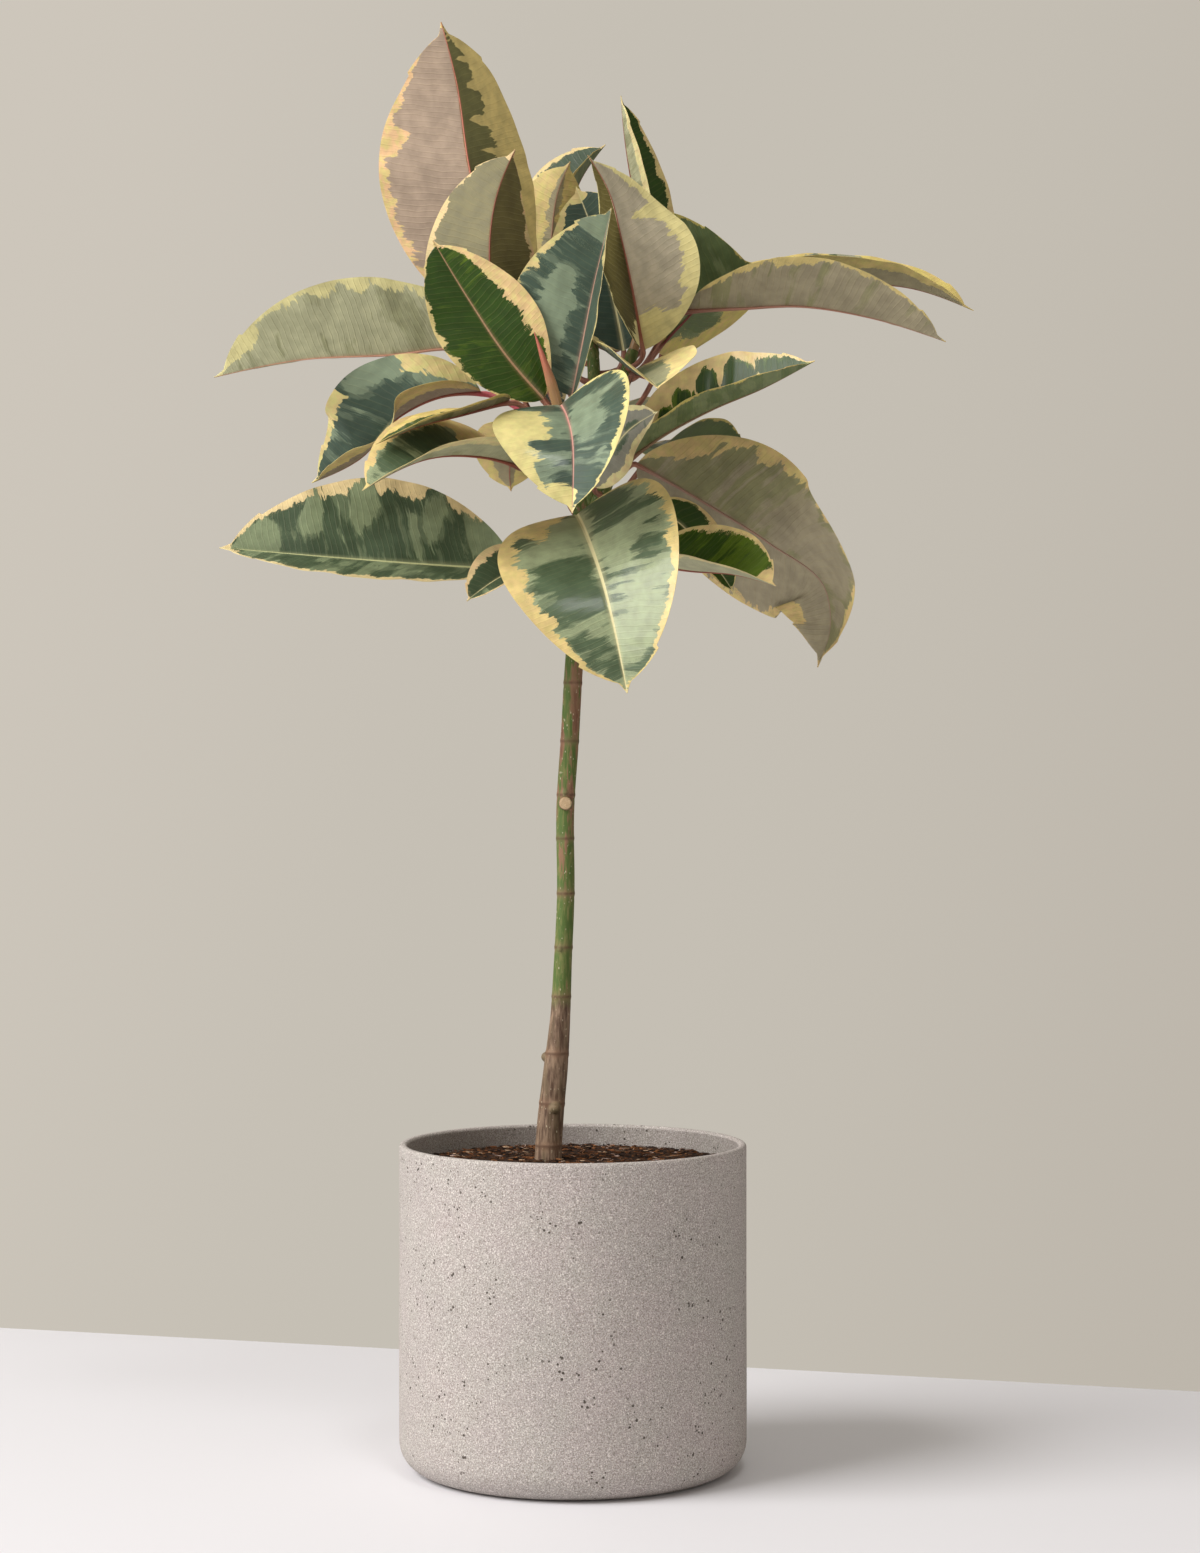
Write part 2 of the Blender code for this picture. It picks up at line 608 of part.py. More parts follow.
def build():
    clear_scene()
    plant = new_collection("potted rubber plant")
    cutters = new_collection("cutters")
    lines = stem_lines()
    build_planter(plant)
    build_soil(plant, cutters, lines["trunk"])
    build_trunk(plant, cutters, lines)
    for name, shape in LEAVES.items():
        build_leaf(name, shape, lines, plant)
    for name, (on, points_to, length_share) in SHEATHS.items():
        build_sheath(name, on, points_to, length_share, lines, plant)


build()
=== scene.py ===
"""Finished look of a potted variegated rubber plant: a small standard tree in a cast planter."""
from math import cos, pi, radians, sin

import bpy
import numpy as np
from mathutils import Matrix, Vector


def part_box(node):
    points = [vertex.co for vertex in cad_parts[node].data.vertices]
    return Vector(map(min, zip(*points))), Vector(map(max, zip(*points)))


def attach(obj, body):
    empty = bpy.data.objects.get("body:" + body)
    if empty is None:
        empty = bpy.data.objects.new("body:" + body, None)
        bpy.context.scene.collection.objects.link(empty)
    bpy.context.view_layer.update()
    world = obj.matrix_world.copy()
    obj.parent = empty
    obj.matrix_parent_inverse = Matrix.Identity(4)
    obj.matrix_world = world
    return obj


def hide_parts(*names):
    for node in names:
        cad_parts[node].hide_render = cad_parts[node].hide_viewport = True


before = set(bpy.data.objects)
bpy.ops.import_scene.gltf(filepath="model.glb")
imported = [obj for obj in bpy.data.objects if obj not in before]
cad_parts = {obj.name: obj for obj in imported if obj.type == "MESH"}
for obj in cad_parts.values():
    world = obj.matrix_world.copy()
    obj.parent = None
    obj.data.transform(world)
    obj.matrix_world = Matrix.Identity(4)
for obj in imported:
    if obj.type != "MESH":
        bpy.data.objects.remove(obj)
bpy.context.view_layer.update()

# ---- sizes taken from the frame -------------------------------------------------------------

MM = 0.001
planter_low, planter_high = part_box("planter")
soil_low, soil_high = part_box("soil")

POT_RADIUS = (planter_high.x - planter_low.x) / 2
POT_HEIGHT = planter_high.z
POT_INNER_RADIUS = (soil_high.x - soil_low.x) / 2 + 0.0003
POT_FLOOR = soil_low.z - 0.0003
POT_BASE_ROUND = 0.024
POT_LIP_ROUND = 0.0028
POT_INSIDE_ROUND = 0.014
SOIL_TOP_Z = soil_high.z
SOIL_MOUND = 0.0035
TRUNK_RADIUS = 0.0075
TRUNK_DEPTH = 0.021                # part of the foot that stands in the soil
TRUNK_RISE = 0.494 + TRUNK_DEPTH   # foot to fork
TRUNK_FOOT_Z = SOIL_TOP_Z - TRUNK_DEPTH
PETIOLE_RADIUS = 0.0022
FULL_BLADE = 0.962

random = np.random.default_rng(41)


def srgb(red, green, blue):
    """Linear colour from display values of 0 to 255."""
    values = np.array((red, green, blue)) / 255
    low = values <= 0.04045
    return tuple(np.where(low, values / 12.92, ((values + 0.055) / 1.055) ** 2.4))


# ---- lines, meshes and attributes -----------------------------------------------------------

def unit(vectors):
    vectors = np.asarray(vectors, float)
    return vectors / np.linalg.norm(vectors, axis=-1, keepdims=True)


def bow(u, start, end, leave, arrive, reach):
    """Smooth path at shares u of the way from start to end, with the directions it leaves
    and arrives in."""
    return ((2 * u**3 - 3 * u**2 + 1) * start + (u**3 - 2 * u**2 + u) * reach * leave
            + (3 * u**2 - 2 * u**3) * end + (u**3 - u**2) * reach * arrive)


class Line:
    """Smooth line through points, with a value at each point; places run from 0 to 1."""

    def __init__(self, points, values=None):
        self.points = np.array(points, float)
        self.values = np.ones(len(points)) if values is None else np.array(values, float)
        gaps = np.linalg.norm(np.diff(self.points, axis=0), axis=1)
        self.length = gaps.sum()
        self.knots = np.concatenate([[0.0], np.cumsum(gaps)]) / self.length
        self.knots[-1] = 1.0
        widths = np.diff(self.knots)[:, None]
        steps = np.diff(self.points, axis=0) / widths
        inner = (steps[:-1] * widths[1:] + steps[1:] * widths[:-1]) / (widths[1:] + widths[:-1])
        if len(inner):
            ends = 1.5 * steps[:1] - 0.5 * inner[:1], 1.5 * steps[-1:] - 0.5 * inner[-1:]
        else:
            ends = steps, steps
        self.slopes = np.concatenate([ends[0], inner, ends[1]])

    def at(self, places):
        places = np.atleast_1d(np.asarray(places, float))
        span = np.clip(np.searchsorted(self.knots, places) - 1, 0, len(self.knots) - 2)
        width = self.knots[span + 1] - self.knots[span]
        u = ((places - self.knots[span]) / width)[:, None]
        return bow(u, self.points[span], self.points[span + 1], self.slopes[span],
                   self.slopes[span + 1], width[:, None])

    def direction(self, places):
        places = np.atleast_1d(np.asarray(places, float))
        return unit(self.at(np.minimum(places + 0.005, 1)) - self.at(np.maximum(places - 0.005, 0)))

    def value(self, places):
        return np.interp(places, self.knots, self.values)


def turns(count):
    """Angles of count equal steps round a circle."""
    return np.arange(count) / count * 2 * pi


def strip_faces(rows, columns, first=0, closed=False):
    """Quads between neighbouring rows of points; closed joins a row's last point to its first."""
    faces = []
    for row in range(rows - 1):
        for column in range(columns if closed else columns - 1):
            a = first + row * columns + column
            b = first + row * columns + (column + 1) % columns
            faces.append((a, b, b + columns, a + columns))
    return faces


def placed(name, data):
    item = bpy.data.objects.new(name, data)
    bpy.context.scene.collection.objects.link(item)
    return item


def add_mesh(name, points, faces, sharp=50):
    mesh = bpy.data.meshes.new(name)
    mesh.from_pydata([tuple(point) for point in points], [], faces)
    mesh.validate()
    mesh.shade_smooth()
    mesh.set_sharp_from_angle(angle=radians(sharp))
    return placed(name, mesh)


def give_values(mesh, name, values):
    field = mesh.attributes.new(name, "FLOAT", "POINT")
    field.data.foreach_set("value", np.asarray(values, np.float32))


def give_colours(mesh, name, colours):
    field = mesh.attributes.new(name, "FLOAT_COLOR", "POINT")
    colours = np.asarray(colours, np.float32)
    solid = np.ones((len(colours), 1), np.float32)
    field.data.foreach_set("color", np.hstack([colours, solid]).ravel())


def give_uv(mesh, name, pairs):
    corners = np.empty(len(mesh.loops), np.int32)
    mesh.loops.foreach_get("vertex_index", corners)
    layer = mesh.uv_layers.new(name=name)
    layer.data.foreach_set("uv", np.asarray(pairs, np.float32)[corners].ravel())


def tube_points(middles, radii, sides, up):
    """Rings of points round a line, ring by ring, each turned so that its top faces up."""
    along = unit(np.gradient(middles, axis=0))
    side = unit(np.cross(along, up))
    top = np.cross(side, along)
    angles = turns(sides)[None, :, None]
    ring = np.cos(angles) * side[:, None] + np.sin(angles) * top[:, None]
    radii = np.asarray(radii, float)
    radii = radii[:, None, None] if radii.ndim == 1 else radii[..., None]
    return (middles[:, None] + ring * radii).reshape(-1, 3)


def tube_faces(rings, sides, first=0):
    faces = strip_faces(rings, sides, first, closed=True)
    faces.append(tuple(first + k for k in reversed(range(sides))))
    faces.append(tuple(first + (rings - 1) * sides + k for k in range(sides)))
    return faces


# ---- shader building ------------------------------------------------------------------------

def feed(tree, socket, value):
    """Links another node's socket to this one, or sets this one to a plain value."""
    if isinstance(value, bpy.types.NodeSocket):
        tree.links.new(value, socket)
    else:
        socket.default_value = value


def node(tree, kind, sources=None, **settings):
    """Adds a shader node; sources maps an input's name or number to a value or a socket."""
    item = tree.nodes.new(kind)
    for key, value in settings.items():
        setattr(item, key, value)
    for key, value in (sources or {}).items():
        feed(tree, item.inputs[key], value)
    return item


def sums(tree, operation, first, second=0.0, third=0.0):
    item = node(tree, "ShaderNodeMath", {0: first, 1: second, 2: third}, operation=operation)
    return item.outputs[0]


def times(tree, first, second):
    return sums(tree, "MULTIPLY", first, second)


def plus(tree, first, second):
    return sums(tree, "ADD", first, second)


def minus(tree, first, second):
    return sums(tree, "SUBTRACT", first, second)


def swing(tree, field, share):
    """A field of 0 to 1 centred on 0 and scaled by share."""
    return times(tree, minus(tree, field, 0.5), share)


def total(tree, base, *parts):
    """Base plus each (field, share) of parts."""
    for part, share in parts:
        base = plus(tree, base, times(tree, part, share))
    return base


def mix(tree, share, first, second, blend="MIX"):
    """Mixes two colours; each is a socket or display values of 0 to 255."""
    item = node(tree, "ShaderNodeMix", {0: share}, data_type="RGBA", blend_type=blend)
    for key, tone in ((6, first), (7, second)):
        plain = isinstance(tone, tuple)
        feed(tree, item.inputs[key], (*srgb(*tone), 1.0) if plain else tone)
    return item.outputs[2]


def ramp(tree, value, low, high, start=0.0, end=1.0):
    """Start below low and end above high, with an eased change between them."""
    item = node(tree, "ShaderNodeMapRange", {0: value, 1: low, 2: high, 3: start, 4: end},
                interpolation_type="SMOOTHSTEP")
    return item.outputs[0]


def attribute(tree, name, output="Fac"):
    return node(tree, "ShaderNodeAttribute", attribute_name=name).outputs[output]


def noise(tree, vector, scale, detail=3.0, roughness=0.5):
    item = node(tree, "ShaderNodeTexNoise",
                {"Vector": vector, "Scale": scale, "Detail": detail, "Roughness": roughness})
    return item.outputs["Fac"]


def vector(tree, x=0.0, y=0.0, z=0.0):
    return node(tree, "ShaderNodeCombineXYZ", {0: x, 1: y, 2: z}).outputs[0]


def object_place(tree):
    return node(tree, "ShaderNodeTexCoord").outputs["Object"]


def blade_place(tree):
    """Place on a leaf or sheath, in decimetres, and its parts along and across."""
    place = node(tree, "ShaderNodeUVMap", uv_map="blade").outputs[0]
    return place, node(tree, "ShaderNodeSeparateXYZ", {0: place}).outputs


def drawn_out(tree, place, upright):
    """Place with its height scaled by upright, so that a pattern runs long or lies flat."""
    return node(tree, "ShaderNodeMapping",
                {"Vector": place, "Scale": (1.0, 1.0, upright)}).outputs[0]


def cells(tree, place, scale):
    """Distance to the nearest of many scattered points."""
    item = node(tree, "ShaderNodeTexVoronoi",
                {"Vector": place, "Scale": scale, "Randomness": 1.0})
    return item.outputs["Distance"]


def new_group(name, inputs, outputs):
    """Shader node group of plain numbers; inputs maps each name to its default."""
    group = bpy.data.node_groups.new(name, "ShaderNodeTree")
    for label, default in inputs.items():
        socket = group.interface.new_socket(name=label, in_out="INPUT",
                                            socket_type="NodeSocketFloat")
        socket.default_value = default
    for label in outputs:
        group.interface.new_socket(name=label, in_out="OUTPUT", socket_type="NodeSocketFloat")
    given = group.nodes.new("NodeGroupInput").outputs
    return group, given, group.nodes.new("NodeGroupOutput").inputs


def use_group(tree, group, sources):
    return node(tree, "ShaderNodeGroup", sources, node_tree=group).outputs


def new_material(name, **constants):
    """Material with a Principled shader; constants are set straight on its sockets."""
    mat = bpy.data.materials.new(name)
    mat.use_nodes = True
    shader = mat.node_tree.nodes["Principled BSDF"]
    for key, value in constants.items():
        shader.inputs[key.replace("_", " ")].default_value = value
    return mat, mat.node_tree, shader


def dress(tree, shader, colour, roughness, height, strength, distance):
    """Feeds a shader its colour, roughness and raised detail."""
    raised = node(tree, "ShaderNodeBump",
                  {"Height": height, "Strength": strength, "Distance": distance})
    for name, source in (("Base Color", colour), ("Roughness", roughness),
                         ("Normal", raised.outputs[0])):
        tree.links.new(source, shader.inputs[name])


# ---- leaf finishes --------------------------------------------------------------------------

VEINS_PER_DECIMETRE = 21.0
VEIN_SLANT = 0.30      # how far a side vein runs back for each step away from the midrib
HALF_OFFSET = 3.7      # keeps the patterns of a blade's two halves apart
MIDRIB_TAPER = 0.8


def build_variegation():
    """Splits a blade into cream, pale and dark zones whose borders run out in steps and
    fingers along the side veins.  Along and Across are in decimetres from the blade's base
    and midrib."""
    tree, given, result = new_group(
        "variegation",
        {"Along": 0.0, "Across": 0.0, "Cream lean": 0.0, "Pale lean": 0.0, "Seed": 0.0},
        ("Cream", "Pale", "Middle", "Cloud", "Vein", "Blush"))
    reach = sums(tree, "ABSOLUTE", given["Across"])
    half = times(tree, sums(tree, "SIGN", given["Across"]), HALF_OFFSET)
    slant = times(tree, reach, -VEIN_SLANT)
    seed = plus(tree, given["Seed"], half)
    place = vector(tree, given["Along"], given["Across"], seed)
    wander = swing(tree, noise(tree, place, 3.5, 2.0), 0.07)
    vein = plus(tree, plus(tree, given["Along"], slant), wander)

    def steps(width, extra):
        """A level for each strip between side veins, width strips to the decimetre."""
        strip = sums(tree, "FLOOR", times(tree, vein, width))
        level = node(tree, "ShaderNodeTexWhiteNoise",
                     {"Vector": vector(tree, strip, plus(tree, seed, extra), 0.5)},
                     noise_dimensions="3D").outputs["Value"]
        return minus(tree, level, 0.5)

    def streaks(fine, long, extra):
        """Smooth noise drawn out along the side veins."""
        drawn = vector(tree, times(tree, vein, fine), times(tree, reach, long),
                       plus(tree, seed, extra))
        return minus(tree, noise(tree, drawn, 1.0, 2.0), 0.5)

    ragged = streaks(42.0, 9.0, 2.0)
    small_steps = steps(27.0, 1.0)
    cream_edge = total(tree, given["Cream lean"], (small_steps, 0.14), (steps(10.0, 5.0), 0.24),
                       (ragged, 0.42), (streaks(7.0, 3.0, 9.0), 0.85))
    pale_edge = total(tree, given["Pale lean"], (small_steps, 0.12), (steps(16.0, 3.0), 0.24),
                      (steps(6.5, 8.0), 0.42), (ragged, 0.34), (streaks(6.5, 2.0, 14.0), 1.5))
    middle_edge = total(tree, pale_edge, (streaks(13.0, 3.0, 21.0), 0.9),
                        (steps(20.0, 6.0), 0.16))
    middle_edge = plus(tree, middle_edge, 0.12)
    tree.links.new(ramp(tree, cream_edge, -0.02, 0.02), result["Cream"])
    tree.links.new(ramp(tree, pale_edge, -0.03, 0.03), result["Pale"])
    tree.links.new(ramp(tree, middle_edge, -0.03, 0.05), result["Middle"])
    tree.links.new(noise(tree, place, 9.0, 3.0), result["Cloud"])
    phase = sums(tree, "FRACT", times(tree, vein, VEINS_PER_DECIMETRE))
    line = sums(tree, "ABSOLUTE", minus(tree, phase, 0.5))
    tree.links.new(ramp(tree, line, 0.0, 0.16, 1.0, 0.0), result["Vein"])
    elsewhere = vector(tree, given["Along"], given["Across"], plus(tree, seed, 30.0))
    blush = noise(tree, elsewhere, 16.0, 2.0)
    tree.links.new(ramp(tree, blush, 0.35, 0.62), result["Blush"])
    return tree


def build_midrib():
    """Mask of the midrib: a line that narrows towards the tip."""
    tree, given, result = new_group(
        "midrib line", {"Along": 0.0, "Across": 0.0, "Length": 2.0, "Width": 0.012},
        ("Line", "Glow"))
    left = minus(tree, 1.0, sums(tree, "DIVIDE", given["Along"], given["Length"]))
    taper = plus(tree, times(tree, left, MIDRIB_TAPER), 1.0 - MIDRIB_TAPER)
    width = times(tree, given["Width"], taper)
    reach = sums(tree, "DIVIDE", sums(tree, "ABSOLUTE", given["Across"]), width)
    tree.links.new(ramp(tree, reach, 0.6, 1.1, 1.0, 0.0), result["Line"])
    tree.links.new(ramp(tree, reach, 0.6, 4.0, 1.0, 0.0), result["Glow"])
    return tree


VARIEGATION = build_variegation()
MIDRIB = build_midrib()


def leaf_material(name, rib_share, vein_depth, vein_light, roughness, **constants):
    """Blade finish whose colours and zone borders come from the mesh's own fields."""
    mat, tree, shader = new_material(name, **constants)
    place, axes = blade_place(tree)
    zones = use_group(tree, VARIEGATION, {
        "Along": axes[0], "Across": axes[1], "Cream lean": attribute(tree, "cream lean"),
        "Pale lean": attribute(tree, "pale lean"), "Seed": attribute(tree, "seed")})
    rib = use_group(tree, MIDRIB, {"Along": axes[0], "Across": axes[1],
                                   "Width": attribute(tree, "rib width"),
                                   "Length": attribute(tree, "length")})
    dark = attribute(tree, "dark", "Color")
    pale = attribute(tree, "pale", "Color")
    cream = attribute(tree, "cream", "Color")
    colour = mix(tree, times(tree, zones["Middle"], 0.36), dark, pale)
    colour = mix(tree, times(tree, zones["Pale"], 0.9), colour, pale)
    reddened = times(tree, zones["Blush"], attribute(tree, "blush"))
    blushed = mix(tree, reddened, cream, (222, 174, 138))
    colour = mix(tree, zones["Cream"], colour, blushed)
    colour = mix(tree, times(tree, zones["Vein"], vein_light), colour, cream)
    cloud = ramp(tree, zones["Cloud"], 0.25, 0.75, 0.84, 1.14)
    shade = node(tree, "ShaderNodeCombineColor", {0: cloud, 1: cloud, 2: cloud}).outputs[0]
    colour = mix(tree, 1.0, colour, shade, "MULTIPLY")
    rib_colour = attribute(tree, "rib", "Color")
    colour = mix(tree, times(tree, rib["Glow"], 0.22), colour, rib_colour)
    colour = mix(tree, times(tree, rib["Line"], rib_share), colour, rib_colour)
    gloss = ramp(tree, zones["Cloud"], 0.2, 0.8, roughness - 0.05, roughness + 0.08)
    height = total(tree, times(tree, zones["Vein"], -vein_depth),
                   (noise(tree, place, 260.0, 2.0), 0.16), (zones["Cloud"], 0.8))
    dress(tree, shader, colour, gloss, height, 0.55, 0.0006)
    return mat, tree, shader


def petiole_material():
    """Fleshy stalk and midrib ridge, blushed red."""
    mat, tree, shader = new_material("petiole", Specular_IOR_Level=0.45)
    place, axes = blade_place(tree)
    drawn = vector(tree, axes[0], times(tree, axes[1], 9.0), attribute(tree, "seed"))
    streak = noise(tree, drawn, 6.0, 3.0)
    colour = mix(tree, ramp(tree, streak, 0.3, 0.72), attribute(tree, "dark", "Color"),
                 attribute(tree, "cream", "Color"))
    speck = noise(tree, place, 120.0, 2.0)
    colour = mix(tree, ramp(tree, speck, 0.62, 0.72, 0.0, 0.4), colour, (214, 190, 150))
    dress(tree, shader, colour, ramp(tree, streak, 0.2, 0.8, 0.42, 0.6), speck, 0.3, 0.0004)
    return mat


# ---- leaves ---------------------------------------------------------------------------------

# Display colours of a blade's upper side and underside: dark zone, pale zone, cream zone.
UPPER = {
    "deep": ((58, 74, 54), (118, 130, 100), (210, 194, 134)),
    "vivid": ((40, 68, 0), (84, 108, 16), (222, 202, 136)),
    "blue": ((62, 79, 66), (124, 138, 114), (206, 196, 130)),
    "sage": ((76, 92, 66), (148, 158, 122), (208, 188, 122)),
    "peach": ((66, 82, 58), (128, 140, 106), (222, 200, 148)),
    "yellow": ((54, 74, 30), (150, 150, 124), (206, 188, 108)),
    "straw": ((112, 122, 92), (160, 158, 124), (228, 214, 144)),
    "grey": ((86, 102, 82), (150, 148, 134), (234, 224, 164)),
}
UNDER = {
    "mauve": ((110, 108, 66), (162, 142, 124), (208, 188, 122)),
    "olive": ((104, 96, 58), (122, 116, 84), (210, 190, 136)),
    "brown": ((140, 138, 100), (160, 150, 124), (212, 192, 126)),
    "grey": ((148, 149, 114), (176, 176, 142), (216, 208, 150)),
    "beige": ((84, 76, 34), (186, 176, 152), (224, 212, 148)),
    "straw": ((124, 122, 88), (160, 150, 118), (212, 196, 122)),
    "green": ((100, 116, 72), (124, 136, 94), (208, 194, 106)),
    "slate": ((112, 126, 112), (150, 156, 134), (224, 212, 140)),
}
RED = (150, 84, 70)
TAN = (176, 138, 104)
IVORY = (222, 212, 162)


def leaf(on, at, rib, face, width, fold, **more):
    """One leaf.  on, at: branch and place along it.  rib: midrib points, offset in mm from
    there (right, back, up).  face: direction of the upper surface.  width in mm.  fold: how
    far each half of the blade is raised, in degrees.  Pairs hold a value for each half of
    the blade.  margin: cream share of the half.  pale: how far the rest leans to pale.
    patches: (zone, place along, place across, reach along, reach across), with places from
    0 to 1 along and -1 to 1 across.  rib_width in decimetres.  shine: strength of the
    waxy coat on the upper side."""
    shape = {"on": on, "at": at, "rib": rib, "face": face, "width": width, "fold": fold,
             "curl": (0, 0), "tip_face": face, "tip_fold": fold, "fullness": 0.93,
             "top": "deep", "under": "olive", "margin": (0.12, 0.12), "pale": (-0.3, -0.3),
             "patches": (), "under_margin": (0.10, 0.10), "under_pale": (0.0, 0.0),
             "under_patches": (), "rib_top": IVORY, "rib_under": RED, "rib_width": 0.013,
             "stalk": ((130, 82, 68), (180, 124, 102)), "blush": (0.3, 0.3),
             "ripple": 0.7, "shine": 0.2}
    shape.update(more)
    return shape


